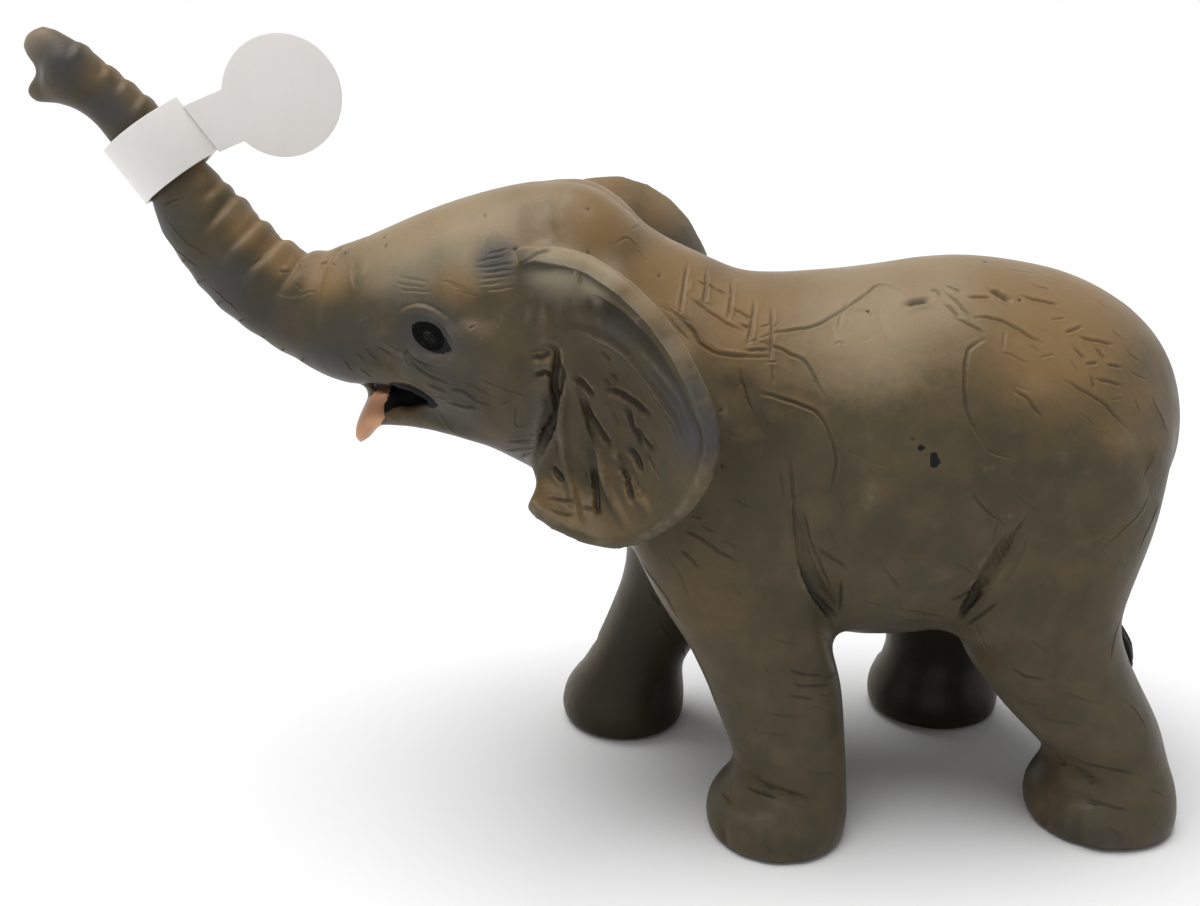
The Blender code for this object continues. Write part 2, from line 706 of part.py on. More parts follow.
def ear_body(name, side, margin):
    """An ear, or with a margin the space that it needs in the head."""
    grid = ear_grid(side, margin)
    count = len(grid[0])
    points = [point for line in grid for point in line]
    faces = []
    for row in range(len(grid) - 1):
        for column in range(count - 1):
            corner = row * count + column
            faces.append((corner, corner + 1, corner + count + 1, corner + count))
    sheet = mesh_object(name, points, faces)
    shell = sheet.modifiers.new("shell", "SOLIDIFY")
    shell.thickness = EAR_THICKNESS + 2 * margin
    shell.offset = 0
    shell.use_even_offset = True
    return baked(sheet, name)


# Tail

def tail_body(name, growth):
    rings = []
    root_z = BELLY_HEIGHT + TAIL_ROOT_SHARE * BODY_DEPTH
    for behind, aside, drop, half_length, half_width in smooth_rows(TAIL_SHARES, 3):
        centre = Vector((RUMP_X + behind * TAIL_DROP, aside * TAIL_DROP, root_z - drop * TAIL_DROP))
        rings.append(ring(centre, Vector((1, 0, 0)), Vector((0, 1, 0)), half_length * TAIL_RADIUS + growth,
                          half_width * TAIL_RADIUS + growth, half_width * TAIL_RADIUS + growth)[::2])
    return loft(name, rings)


# Tag strip

def band_frame():
    """The middle of the band, the trunk's direction there and its radius."""
    centre, direction, radius = trunk_course()[BAND_ROW * STEPS]
    return centre, direction, radius


def teardrop(radius, reach):
    """A round loop drawn out to a point on one side, as a closed outline."""
    opening = math.acos(radius / reach)
    points = []
    for index in range(SIDES * 2 + 1):
        angle = opening + (2 * math.pi - 2 * opening) * index / (SIDES * 2)
        points.append((radius * math.cos(angle), radius * math.sin(angle)))
    points.append((reach, 0.0))
    return points


def flat_body(name, outlines, depth):
    """Flat outlines, the later ones as holes, given a depth."""
    curve = bpy.data.curves.new(name, "CURVE")
    curve.dimensions = "2D"
    curve.fill_mode = "BOTH"
    curve.extrude = depth / 2
    for outline in outlines:
        spline = curve.splines.new("POLY")
        spline.points.add(len(outline) - 1)
        for point, (x, y) in zip(spline.points, outline):
            point.co = (x, y, 0, 1)
        spline.use_cyclic_u = True
    shape = bpy.data.objects.new(name + " curve", curve)
    cutters.objects.link(shape)
    body = baked(shape, name)
    work = bmesh.new()
    work.from_mesh(body.data)
    bmesh.ops.remove_doubles(work, verts=work.verts, dist=STRIP_THICKNESS / 100)
    bmesh.ops.recalc_face_normals(work, faces=work.faces)
    work.to_mesh(body.data)
    work.free()
    return body


def band_radius():
    return band_frame()[2] + CLEARANCE + BAND_PLAY


def lap_reach():
    """How far the band's lap stands out from the trunk's middle line."""
    return band_radius() + STRIP_THICKNESS + BAND_LAP


def tag_band():
    """The loop, its lap drawn out towards the flag. Its own Z is the trunk's direction."""
    inner = band_radius()
    outer = inner + STRIP_THICKNESS
    reach = lap_reach()
    return flat_body("tag_band", [teardrop(outer, reach), teardrop(inner, reach - 2 * STRIP_THICKNESS)],
                     BAND_WIDTH)


def tag_flag():
    """The strip's free end with its disc. Its own X runs out to the disc, Y along the trunk."""
    half = FLAG_WIDTH / 2
    meeting = math.asin(half / DISC_RADIUS)
    lean = half * math.tan(FLAG_DROOP)
    outline = [(-lean, half), (lean, -half)]
    for index in range(SIDES * 2 + 1):
        angle = math.pi + meeting + (2 * math.pi - 2 * meeting) * index / (SIDES * 2)
        outline.append((FLAG_LENGTH + DISC_RADIUS * math.cos(angle), DISC_RADIUS * math.sin(angle)))
    return flat_body("tag_flag", [outline], STRIP_THICKNESS)


# Finish

def paint(body, colour, roughness):
    material = bpy.data.materials.new(body.name + " paint")
    material.use_nodes = True
    shader = material.node_tree.nodes["Principled BSDF"]
    shader.inputs["Base Color"].default_value = (*colour, 1)
    shader.inputs["Roughness"].default_value = roughness
    shader.inputs["Metallic"].default_value = 0
    body.data.materials.clear()
    body.data.materials.append(material)


def finish(body, name, origin, colour, roughness, parent):
    """Give a piece its name, origin, paint and parent, and put it with the parts."""
    body.name = name
    body.data.name = name
    body.data.transform(Matrix.Translation(-origin))
    move_to(body, parts)
    body.parent = parent
    body.location = origin
    body.data.shade_smooth()
    body.data.set_sharp_from_angle(angle=math.radians(40))
    paint(body, colour, roughness)


def empty(name, pose, parent=None):
    marker = bpy.data.objects.new(name, None)
    marker.empty_display_size = CLEARANCE * 10
    parts.objects.link(marker)
    marker.parent = parent
    marker.matrix_local = pose
    return marker


HIDE = (0.085, 0.075, 0.058)
PALE_HIDE = (0.11, 0.096, 0.075)
LIP_PINK = (0.55, 0.22, 0.11)
DARK_HAIR = (0.02, 0.019, 0.017)
TAG_WHITE = (0.82, 0.81, 0.79)


def sculpt():
    """The whole animal as one skin, with an open mouth."""
    rough = fused("flesh", [torso_mass(), head_mass()] + [leg_mass(name) for name in LEGS],
                  BODY_WIDTH * ROUGH_GRAIN_SHARE, 22)
    skin = fused("skin", [rough] + trunk_masses() + jaw_masses(), BODY_WIDTH * GRAIN_SHARE, 4)
    carve(skin)
    skin = thinned(skin, SKIN_TRIANGLES)
    mouth = prism("mouth slit", [head_spot(row) for row in MOUTH_SHARES], HEAD_WIDTH / 2, HEAD_POSE)
    return boolean(skin, mouth, "DIFFERENCE")


def build():
    """Part the skin along its seams, seat the pieces, and hang the tag on the trunk."""
    skin = sculpt()
    floor = (Vector((0, 0, 0)), Vector((0, 0, 1)))
    trunk = sliced(skin, "trunk", [side_of(trunk_seam(), True)])
    head = sliced(skin, "head", [side_of(trunk_seam(), False), side_of(neck_seam(), True)])
    torso = sliced(skin, "torso", [side_of(neck_seam(), False), side_of(leg_seam(), True)])
    jaw = boolean(sliced(skin, "lower_jaw", [side_of(trunk_seam(), False)]),
                  prism("jaw space", jaw_outline(0), HEAD_WIDTH, HEAD_POSE), "INTERSECT")
    head = boolean(head, prism("jaw notch", jaw_outline(CLEARANCE), HEAD_WIDTH, HEAD_POSE), "DIFFERENCE")

    legs = {}
    for name, (foot_x, side, rows) in LEGS.items():
        ends = Vector((1 if foot_x > MIDDLE_X else -1, 0, 0))
        planes = [side_of(leg_seam(), False), floor, (Vector((MIDDLE_X, 0, 0)), ends),
                  (Vector((0, 0, 0)), Vector((0, side, 0)))]
        leg = sliced(skin, name, planes)
        top = [point.co for point in leg.data.vertices if point.co.z > LEG_SEAM_Z - CLEARANCE]
        middle = sum(top, Vector()) / len(top)
        legs[name], torso = pegged(leg, torso, middle, Vector((0, 0, 1)), LEG_PEG_RADIUS, LEG_PEG_LENGTH)
    bpy.data.objects.remove(skin)

    neck_point, neck_way = neck_seam()
    head, torso = pegged(head, torso, neck_point, -neck_way, NECK_PEG_RADIUS, NECK_PEG_LENGTH)
    trunk_point, trunk_way = trunk_seam()
    trunk, head = pegged(trunk, head, trunk_point, -trunk_way, TRUNK_PEG_RADIUS, TRUNK_PEG_LENGTH)
    jaw_point, jaw_way = jaw_heel()
    jaw, head = pegged(with_tongue(jaw), head, jaw_point, jaw_way, JAW_PEG_RADIUS, JAW_PEG_LENGTH)

    ears = {}
    for name, side in (("left_ear", -1), ("right_ear", 1)):
        ears[name] = ear_body(name, side, 0)
        slot = ear_body("ear slot", side, CLEARANCE)
        head = boolean(head, slot, "DIFFERENCE")
    torso = boolean(torso, tail_body("tail groove", CLEARANCE), "DIFFERENCE")
    tail = tail_body("tail", 0)

    figure = empty("figure", Matrix())
    centre, way, radius = band_frame()
    sideways = Vector((0, 1, 0))
    turn = Matrix((sideways.cross(way), sideways, way)).transposed().to_4x4()
    band_axis = empty("tag_turn_axis", HEAD_POSE @ Matrix.Translation(centre) @ turn, figure)
    lap_end = Matrix.Translation((lap_reach() + CLEARANCE, 0, -FLAG_SLIP))
    flag_axis = empty("flag_flex_axis", lap_end, band_axis)

    finish(trunk, "trunk", trunk_point, HIDE, 0.5, figure)
    finish(head, "head", neck_point, PALE_HIDE, 0.5, figure)
    finish(torso, "torso", Vector((MIDDLE_X, 0, LEG_SEAM_Z)), HIDE, 0.5, figure)
    finish(jaw, "lower_jaw", jaw_point, LIP_PINK, 0.45, figure)
    for name, leg in legs.items():
        foot_x, side, rows = LEGS[name]
        finish(leg, name, Vector((foot_x, side * FOOT_SPREAD, 0)), HIDE, 0.5, figure)
    for name, ear in ears.items():
        finish(ear, name, neck_point, PALE_HIDE, 0.5, figure)
    finish(tail, "tail", Vector((RUMP_X, 0, HIP_HEIGHT)), DARK_HAIR, 0.55, figure)
    finish(tag_band(), "tag_band", Vector(), TAG_WHITE, 0.3, band_axis)
    flag = tag_flag()
    flag.data.transform(Matrix.Rotation(FLAG_DROOP, 4, "Y") @ Matrix.Rotation(math.pi / 2, 4, "X"))
    finish(flag, "tag_flag", Vector(), TAG_WHITE, 0.3, flag_axis)
    return figure


def centred(figure):
    """Move the whole figure until the origin is under the middle of its box."""
    bpy.context.view_layer.update()
    corners = [body.matrix_world @ Vector(corner) for body in parts.objects if body.type == "MESH"
               for corner in body.bound_box]
    low = Vector(min(corner[axis] for corner in corners) for axis in range(3))
    high = Vector(max(corner[axis] for corner in corners) for axis in range(3))
    figure.location = (-(low.x + high.x) / 2, -(low.y + high.y) / 2, -low.z)


for old in list(bpy.data.objects):
    bpy.data.objects.remove(old)
parts = bpy.data.collections.new("toy elephant calf")
cutters = bpy.data.collections.new("cutters")
bpy.context.scene.collection.children.link(parts)
bpy.context.scene.collection.children.link(cutters)
centred(build())
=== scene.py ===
"""Dresses the elephant calf figure: sculpted and painted hide, eyes, tail, tag strip and stage.

The hide is grown from the frame's own mouldings, so it fills the space that they fill. Their
seams are melted shut, wrinkles and folds are pressed in, the paint is laid on, and the skin is
parted again along the seams.

Wrinkles and painted places are drawn in picture points, in the 1200 by 906 picture that the
scene's own camera takes. They are cast through that camera onto the near side of the skin, and
mirrored to the far side.
"""

import math

import bmesh
import bpy
import numpy as np
from bpy.props import FloatProperty, FloatVectorProperty, IntProperty, PointerProperty
from mathutils import Matrix, Vector
from mathutils.bvhtree import BVHTree
from mathutils.kdtree import KDTree


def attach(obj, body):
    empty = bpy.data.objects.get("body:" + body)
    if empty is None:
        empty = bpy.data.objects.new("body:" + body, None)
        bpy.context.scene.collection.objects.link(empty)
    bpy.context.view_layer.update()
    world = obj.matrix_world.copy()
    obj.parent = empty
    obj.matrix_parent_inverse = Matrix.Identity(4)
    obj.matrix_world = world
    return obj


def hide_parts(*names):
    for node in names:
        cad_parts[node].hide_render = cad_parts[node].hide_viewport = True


bl_info = {
    "name": "Elephant calf figure",
    "version": (1, 0, 0),
    "blender": (4, 5, 0),
    "location": "View3D > Sidebar > Calf",
    "description": "Sculpts, paints and stages a soft-plastic elephant calf with a tag strip",
    "category": "Object",
}

MM = 0.001

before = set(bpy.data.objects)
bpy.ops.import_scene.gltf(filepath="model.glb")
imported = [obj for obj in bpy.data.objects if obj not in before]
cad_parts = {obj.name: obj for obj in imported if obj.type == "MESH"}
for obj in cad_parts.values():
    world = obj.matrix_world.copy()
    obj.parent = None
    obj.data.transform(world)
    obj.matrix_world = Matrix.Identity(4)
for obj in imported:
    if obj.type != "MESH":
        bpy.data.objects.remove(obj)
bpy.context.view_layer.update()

LEGS = ("front_left_leg", "front_right_leg", "hind_left_leg", "hind_right_leg")
EARS = ("left_ear", "right_ear")
HIDE = ("torso", "head", "trunk", "lower_jaw") + EARS + LEGS
HEAD_NODES = ("head", "lower_jaw") + EARS
REGIONS = ("torso", "head", "trunk") + LEGS

# Names under which each point of a painted piece stores three values for the material
CHANNELS = ("carving", "coat", "paint")

# The camera, its near and far limits in metres, and the picture that places are drawn in

PICTURE = (1200, 906)
LENS = 43.5
SENSOR = 36.0
CLIP = (0.005, 20.0)
CAMERA_PLACE = np.array((-9.182, -118.263, 69.0))
CAMERA_WAY = np.array((0.0564, 0.949, -0.3101))
CAMERA_WAY = CAMERA_WAY / np.linalg.norm(CAMERA_WAY)
CAMERA_RIGHT = np.cross(CAMERA_WAY, (0, 0, 1))
CAMERA_RIGHT = CAMERA_RIGHT / np.linalg.norm(CAMERA_RIGHT)
CAMERA_UP = np.cross(CAMERA_RIGHT, CAMERA_WAY)
FOCAL = LENS / SENSOR * PICTURE[0]

# Where the mouldings part, in mm: a point, and the way towards the outer piece

TRUNK_SEAM = ((-24.142, 3.166, 42.976), (-0.92847, 0.09759, 0.35837))
NECK_SEAM = ((0.373, 0.59, 35.34), (-0.97279, 0.10224, 0.20791))
LEG_SEAM = ((0.488, -0.263, 13.6), (0.0, 0.0, -1.0))

# The hind legs lie behind this X, and no part of the head reaches nearer than this to the height
# of the legs' seam
MIDDLE_X = 22.2
HEAD_OVER_LEGS = 8

# How much the skin is evened out in each round, and less on the thin mouldings. Then rounds that
# blend these shares into each other.
SOFTNESS = 0.5
THIN_SOFTNESS = {"left_ear": 0.22, "right_ear": 0.22, "lower_jaw": 0.12, "trunk": 0.3}
SOFTNESS_BLEND = 8

# Under the throat the jaw's peg ends close below the skin, which is evened out there: a place and
# a radius in mm, and rounds
THROAT_SPOT = (-12.2, 1.6, 31.6)
THROAT_ROUND = 2.6
THROAT_EVENING = 90

# A last light evening of the wrinkled skin: rounds, and the share of each
LAST_ROUNDS = 2
LAST_SHARE = 0.35

# The way in which the tag's strip leaves its loop
STRIP_WAY = (0.80481, -0.08459, 0.58747)

# The two halves of the body mirror across a plane, and so do those of the turned head

BODY_MIRROR = (np.array((0, -0.263, 0)), np.array((0, 1, 0)))
HEAD_TURN = math.radians(6)
HEAD_MIRROR = (np.array((8.488, -0.263, 0)), np.array((math.sin(HEAD_TURN), math.cos(HEAD_TURN), 0)))

# Each far leg steps to another place than its near one: how far along X its sole lies, in mm
STEP_SHIFT = {"front_leg": -11.5, "hind_leg": -9.0}
STEP_TOP = 26.0

# Kinds of mark: half its width and its depth in mm, how much dark wash it holds, which in the broad
# kinds is painted shade in their hollows, and how high its lips stand, as a share of its depth. A
# negative depth stands proud.

KINDS = {
    "scratch": (0.12, 0.035, 0.2, 0.0),
    "fine": (0.15, 0.07, 0.36, 0.35),
    "crease": (0.2, 0.12, 0.5, 0.35),
    "fold": (0.38, 0.3, 0.6, 0.3),
    "stroke": (0.34, 0.27, 1.0, 0.25),
    "groove": (0.4, 0.36, 0.65, 0.2),
    "notch": (0.55, 0.24, 0.2, 0.0),
    "valley": (0.9, 0.4, 0.3, 0.0),
    "gully": (0.95, 0.48, 0.42, 0.0),
    "tuck": (0.85, 0.42, 0.2, 0.0),
    "basin": (1.3, 0.6, 0.6, 0.0),
    "dent": (0.75, 0.26, 0.0, 0.0),
    "hollow": (1.9, 0.40, 0.0, 0.0),
    "ridge": (0.2, -0.09, 0.0, 0.0),
    "cord": (0.6, -0.36, 0.0, 0.0),
    "pleat": (0.8, -0.22, 0.0, 0.0),
    "roll": (1.05, -0.32, 0.0, 0.0),
    "swell": (2.4, -0.38, 0.0, 0.0),
    "mound": (5.0, -0.7, 0.0, 0.0),
}
BROAD = ("hollow", "dent", "swell", "roll", "pleat", "gully", "tuck", "valley", "basin", "mound")
ROUND = ("swell", "mound")

# Drawn lines are sampled at these steps, and fine ones sway by so much, in picture points
FINE_STEP = 1.0
BROAD_STEP = 3.0
SWAY = 0.2

# A mark in widths from its middle line: where its lips stand and how broad they are, how far its
# wash spreads and how far it is searched. In mm: the depth beside which no other mark's lip stands.
LIP_AT = 1.35
LIP_HALF = 0.75
WASH_SPREAD = 1.25
MARK_REACH = 1.4
LIP_CLEAR = 0.05

# Share of a mark's length in which it runs out at either end, and how little is left there
TAPER = 0.22
TIP = 0.15

# A mark reaches only skin that faces nearly the same way. The skin near it is looked for in balls
# along it: how far apart and how large they are, in reaches, with a margin in mm.
SAME_WAY = 0.15
BALL_STEP = 0.6
BALL_SIZE = 1.35
BALL_MARGIN = 0.1

# Rounds that cut the faces near fine marks: widest mark in mm, and reach in widths, with a margin
CUTS = ((math.inf, 1.8), (0.3, 1.3))
CUT_MARGIN = 0.08

# Marks in picture points: each row is x, y, x, y and so on along one mark

HEAD_MARKS = {
    "fine": (
        (397, 277, 413, 279, 430, 283), (395, 283, 425, 288), (400, 290, 432, 292),
        (440, 281, 455, 284, 470, 290), (448, 285, 475, 292), (455, 290, 480, 297),
        (476, 262, 490, 259, 505, 256), (472, 268, 495, 266, 515, 262), (480, 273, 500, 271, 520, 268),
        (478, 279, 500, 277, 514, 274), (475, 285, 490, 284, 503, 281), (484, 291, 505, 288, 520, 285),
        (488, 254, 500, 251, 508, 249), (402, 357, 415, 369), (462, 380, 478, 388, 492, 396),
        (478, 377, 500, 385, 530, 398), (519, 403, 516, 415, 517, 426, 535, 422),
        (535, 380, 545, 376, 555, 375), (356, 352, 366, 361), (366, 348, 378, 362), (378, 345, 392, 360),
        (388, 342, 400, 352), (360, 368, 372, 377), (345, 360, 352, 370), (520, 458, 536, 450),
        (540, 398, 550, 404), (470, 330, 474, 326), (478, 402, 492, 404), (500, 404, 512, 400),
        (436, 396, 446, 399),
    ),
    "crease": (
        (405, 354, 412, 362, 425, 373, 440, 380, 452, 384), (428, 384, 440, 389, 447, 392),
        (450, 388, 462, 391, 480, 402), (448, 402, 462, 406, 477, 407), (506, 442, 520, 441, 535, 440),
        (503, 450, 520, 449, 537, 446), (522, 265, 530, 258, 540, 252, 552, 250), (402, 358, 408, 349),
    ),
    "ridge": (
        (352, 262, 350, 275, 353, 292), (355, 325, 365, 320, 375, 317), (437, 410, 445, 423, 455, 434),
        (411, 358, 424, 368, 440, 376),
    ),
    "fold": ((388, 386, 405, 385, 425, 395, 437, 405), (530, 358, 542, 357, 552, 352)),
    "groove": ((536, 351, 546, 346, 555, 350, 557, 364, 556, 378, 554, 412, 543, 438, 534, 460),),
    "hollow": (
        (455, 308, 478, 312, 500, 322), (395, 350, 385, 372), (546, 198, 538, 215, 537, 232, 546, 248),
    ),
    "tuck": ((562, 190, 552, 204, 548, 222, 553, 240, 566, 252),),
    "mound": ((588, 205, 600, 215),),
    "swell": ((380, 300, 385, 330), (470, 345, 500, 370), (420, 250, 450, 240)),
}

EYE_MARKS = {
    "cord": (
        (401, 316, 415, 309, 432, 313, 448, 326, 461, 345), (408, 343, 424, 357, 446, 360, 462, 349),
    ),
    "fine": ((398, 312, 414, 304, 433, 307, 450, 319), (405, 350, 420, 362, 438, 366)),
}

EAR_MARKS = {
    "roll": (
        (533, 270, 560, 263, 590, 268, 622, 286, 653, 315, 680, 355, 702, 394, 713, 428, 710, 458, 694,
         486),
    ),
    "basin": ((572, 300, 603, 309, 630, 327, 652, 351, 670, 378, 685, 404, 696, 428, 700, 448),),
    "gully": ((558, 353, 558, 383, 549, 423, 538, 455),),
    "pleat": (
        (534, 286, 531, 306, 529, 328), (547, 284, 545, 304, 542, 327), (562, 286, 561, 304, 560, 323),
        (578, 291, 579, 306, 582, 323), (594, 298, 597, 312, 602, 328),
    ),
    "valley": ((575, 383, 583, 410, 592, 440, 595, 477, 597, 508), (618, 455, 630, 480, 640, 500)),
    "cord": (
        (566, 332, 580, 331, 597, 337, 622, 351, 643, 374, 662, 401, 677, 425, 682, 445),
        (562, 347, 560, 383, 562, 423, 567, 463, 573, 497, 580, 530),
        (568, 365, 578, 400, 588, 432, 601, 467, 611, 497, 626, 528),
        (608, 440, 620, 463, 634, 490, 648, 514),
    ),
    "stroke": (
        (575, 377, 585, 386, 594, 398), (583, 405, 590, 418, 600, 431, 613, 449),
        (605, 388, 627, 397, 652, 417), (627, 407, 633, 427, 643, 447), (637, 430, 645, 440, 653, 451),
        (627, 447, 636, 456, 642, 472), (620, 463, 629, 482, 632, 501), (592, 467, 595, 490, 598, 517),
        (552, 467, 558, 474, 564, 481), (558, 354, 560, 383, 550, 423, 537, 462),
        (533, 377, 543, 373, 556, 377),
    ),
    "crease": (
        (528, 353, 540, 350, 553, 352), (547, 497, 560, 500, 578, 504), (583, 507, 597, 510),
        (600, 350, 612, 362), (647, 455, 655, 470), (604, 378, 612, 386), (552, 508, 562, 514, 574, 516),
        (612, 372, 618, 382), (575, 268, 580, 278, 578, 286),
    ),
    "fine": (
        (572, 276, 578, 268), (630, 324, 641, 317), (612, 410, 620, 428), (652, 436, 658, 452),
        (655, 468, 660, 480), (604, 400, 612, 408), (586, 470, 588, 490), (556, 440, 558, 456),
        (632, 318, 640, 326), (540, 430, 530, 436), (534, 442, 524, 444), (530, 452, 520, 456),
    ),
}

TRUNK_MARKS = {
    "fine": (
        (165, 215, 185, 240, 215, 260), (158, 222, 172, 245, 200, 268), (185, 268, 205, 292),
        (180, 262, 190, 258), (196, 283, 208, 277), (214, 305, 227, 298), (234, 325, 246, 317),
        (256, 343, 266, 334), (276, 357, 285, 347), (296, 370, 304, 358), (210, 285, 240, 312),
        (300, 296, 310, 292, 318, 292), (296, 284, 302, 290), (330, 260, 336, 268),
    ),
    "crease": (
        (279, 271, 286, 272, 293, 269), (319, 265, 324, 263, 329, 260), (163, 205, 172, 201, 180, 200),
    ),
    "ridge": ((276, 296, 288, 299, 300, 299), (300, 262, 305, 270), (252, 262, 262, 254)),
}

# Rings round the top of the trunk, from its upper outline down its side, in picture points. Each
# fades out over a share of its length, and has a bulge so many points beside it.
TRUNK_RINGS = (
    (233, 197, 222, 210, 208, 226, 198, 242), (258, 220, 243, 235, 226, 252, 214, 270),
    (280, 240, 262, 257, 244, 275, 236, 292), (308, 249, 292, 272, 278, 292, 270, 312),
    (338, 250, 322, 275, 316, 312, 314, 335),
)
FAINT_RINGS = (
    (366, 238, 354, 262, 352, 293), (72, 42, 68, 52, 66, 62), (105, 58, 101, 68, 97, 80),
    (124, 73, 118, 84, 113, 96), (142, 90, 134, 102, 126, 116), (222, 178, 210, 190, 196, 202),
)
RING_GAP = 9.0
RING_FADE = 0.5
RING_STRENGTH = 0.7
FAINT_STRENGTH = 0.3

NECK_MARKS = {
    "crease": (
        (688, 262, 685, 280, 682, 300, 680, 314), (707, 268, 706, 285, 704, 305),
        (732, 280, 731, 300, 728, 320), (755, 300, 752, 322, 748, 345), (772, 308, 772, 335, 770, 360),
        (686, 294, 700, 305, 714, 315, 728, 324, 745, 333), (697, 281, 714, 288, 730, 296),
        (733, 309, 743, 314, 753, 320), (663, 304, 680, 318, 692, 330, 703, 346, 725, 355, 770, 357),
        (740, 324, 752, 329), (745, 351, 758, 350, 770, 350),
    ),
    "ridge": (
        (692, 280, 690, 292), (710, 276, 709, 306), (736, 280, 735, 296), (734, 304, 731, 318),
        (668, 300, 684, 312, 696, 326, 708, 342, 728, 351, 768, 353), (744, 355, 770, 355),
        (757, 326, 752, 344), (757, 341, 770, 338),
    ),
    "fine": (
        (666, 315, 678, 329, 690, 342), (660, 306, 676, 314, 690, 322), (745, 343, 758, 340),
        (760, 327, 770, 325), (770, 330, 778, 324), (700, 300, 712, 306), (768, 362, 776, 362),
        (740, 362, 742, 380, 748, 400, 752, 412), (772, 366, 774, 384), (640, 250, 625, 240, 612, 246),
        (648, 262, 636, 250), (628, 232, 640, 226),
    ),
    "scratch": ((686, 310, 690, 330), (724, 430, 738, 438), (620, 212, 640, 236), (560, 214, 552, 232)),
    "hollow": ((730, 372, 745, 400, 752, 440),),
}

SHOULDER_MARKS = {
    "crease": (
        (757, 341, 775, 347, 790, 354, 805, 362, 813, 375, 824, 398),
        (757, 341, 775, 333, 812, 327, 832, 317, 865, 295, 878, 285, 895, 287, 910, 295),
        (760, 393, 775, 397, 800, 405, 815, 412, 824, 422, 833, 440, 838, 460, 834, 485, 828, 500),
    ),
    "fine": ((835, 345, 840, 342, 845, 345), (868, 312, 873, 315), (850, 300, 842, 312, 838, 330)),
    "scratch": (
        (860, 370, 866, 382, 873, 397), (862, 342, 873, 337), (832, 322, 834, 340),
        (874, 303, 884, 330, 893, 350), (840, 445, 870, 462, 905, 470), (790, 400, 812, 410),
    ),
    "swell": ((880, 500, 930, 520),),
    "hollow": ((842, 410, 850, 460, 842, 520),),
}

RUMP_MARKS = {
    "fold": ((905, 305, 917, 302, 930, 300), (990, 290, 1000, 295, 1010, 302)),
    "crease": (
        (930, 290, 937, 291, 941, 296), (945, 285, 962, 292), (967, 297, 992, 298),
        (945, 303, 952, 310, 960, 318), (955, 318, 970, 325, 985, 334), (945, 290, 958, 303, 972, 318),
        (970, 318, 990, 318, 1010, 325, 1030, 337, 1045, 345), (1065, 333, 1074, 330, 1083, 326),
        (1077, 337, 1095, 341, 1115, 345), (1073, 346, 1079, 353, 1085, 360), (1085, 364, 1098, 363),
        (1106, 365, 1122, 367), (1090, 375, 1095, 388), (1095, 379, 1109, 382, 1123, 386),
        (1095, 347, 1105, 360), (1020, 296, 1040, 301, 1060, 305),
        (1012, 389, 1026, 399, 1035, 410, 1042, 420),
        (1060, 378, 1075, 386, 1090, 395, 1105, 405, 1127, 430),
        (987, 338, 975, 345, 968, 352, 965, 370, 965, 395, 968, 415, 976, 431, 983, 443),
    ),
    "fine": (
        (985, 285, 995, 292), (1030, 284, 1050, 290), (1005, 330, 1003, 350),
        (1000, 352, 1015, 357, 1030, 365), (1040, 358, 1055, 354), (983, 443, 992, 453, 1015, 459),
        (1080, 414, 1088, 420, 1095, 428), (1150, 395, 1160, 415, 1168, 435), (1125, 350, 1140, 362),
        (1130, 372, 1146, 380), (1110, 400, 1124, 398), (1050, 320, 1066, 318),
        (1160, 440, 1152, 460, 1140, 480), (1150, 490, 1140, 510, 1120, 532, 1095, 555),
        (1160, 500, 1150, 525, 1138, 550), (1120, 620, 1114, 640, 1110, 660), (1030, 345, 1040, 352),
        (1070, 360, 1078, 372), (1112, 330, 1122, 340), (1134, 400, 1140, 412),
    ),
    "scratch": (
        (912, 283, 930, 284), (1060, 410, 1076, 440), (1010, 385, 1030, 392), (1040, 330, 1060, 340),
        (935, 262, 936, 282), (1095, 300, 1110, 312), (1010, 270, 1040, 274),
    ),
    "swell": ((1040, 400, 1060, 450), (1120, 450, 1130, 500)),
    "hollow": ((985, 470, 1005, 520), (1085, 470, 1090, 540)),
}

BELLY_MARKS = {
    "fold": ((803, 560, 810, 580, 820, 600, 836, 622), (985, 580, 972, 598, 958, 618)),
    "crease": (
        (790, 455, 793, 490, 797, 520, 803, 560), (1030, 512, 1010, 542, 990, 572),
        (800, 510, 808, 540, 818, 560, 830, 590), (815, 548, 830, 557, 848, 570),
        (840, 580, 840, 595, 838, 610), (900, 609, 922, 613, 945, 618), (1000, 600, 985, 612, 965, 625),
        (968, 488, 985, 508, 1005, 525), (905, 620, 935, 622), (950, 600, 975, 592),
    ),
    "fine": (
        (838, 500, 848, 515), (1010, 490, 1025, 502, 1042, 515), (1000, 512, 996, 530, 990, 550),
        (975, 625, 981, 638, 988, 652), (860, 600, 880, 606), (826, 520, 836, 545), (780, 470, 784, 500),
        (1030, 530, 1020, 560, 1000, 590), (880, 560, 900, 590), (955, 560, 975, 575),
    ),
    "gully": ((797, 500, 803, 545, 815, 585, 834, 618), (1020, 525, 1000, 556, 980, 588, 962, 612)),
    "stroke": ((806, 572, 818, 596, 834, 618), (978, 592, 968, 606, 958, 618)),
    "swell": ((880, 560, 940, 572),),
}

CHEST_MARKS = {
    "crease": (
        (640, 560, 652, 577, 665, 595, 680, 620), (650, 590, 662, 608), (680, 548, 690, 558, 700, 568),
        (705, 540, 720, 552, 738, 562), (685, 530, 700, 538, 712, 548), (616, 548, 622, 556),
    ),
    "fine": (
        (668, 556, 680, 575, 690, 600), (700, 525, 716, 532), (690, 515, 702, 518), (720, 540, 740, 548),
        (735, 500, 752, 508), (660, 620, 672, 640), (676, 640, 690, 664), (730, 580, 744, 600),
    ),
}

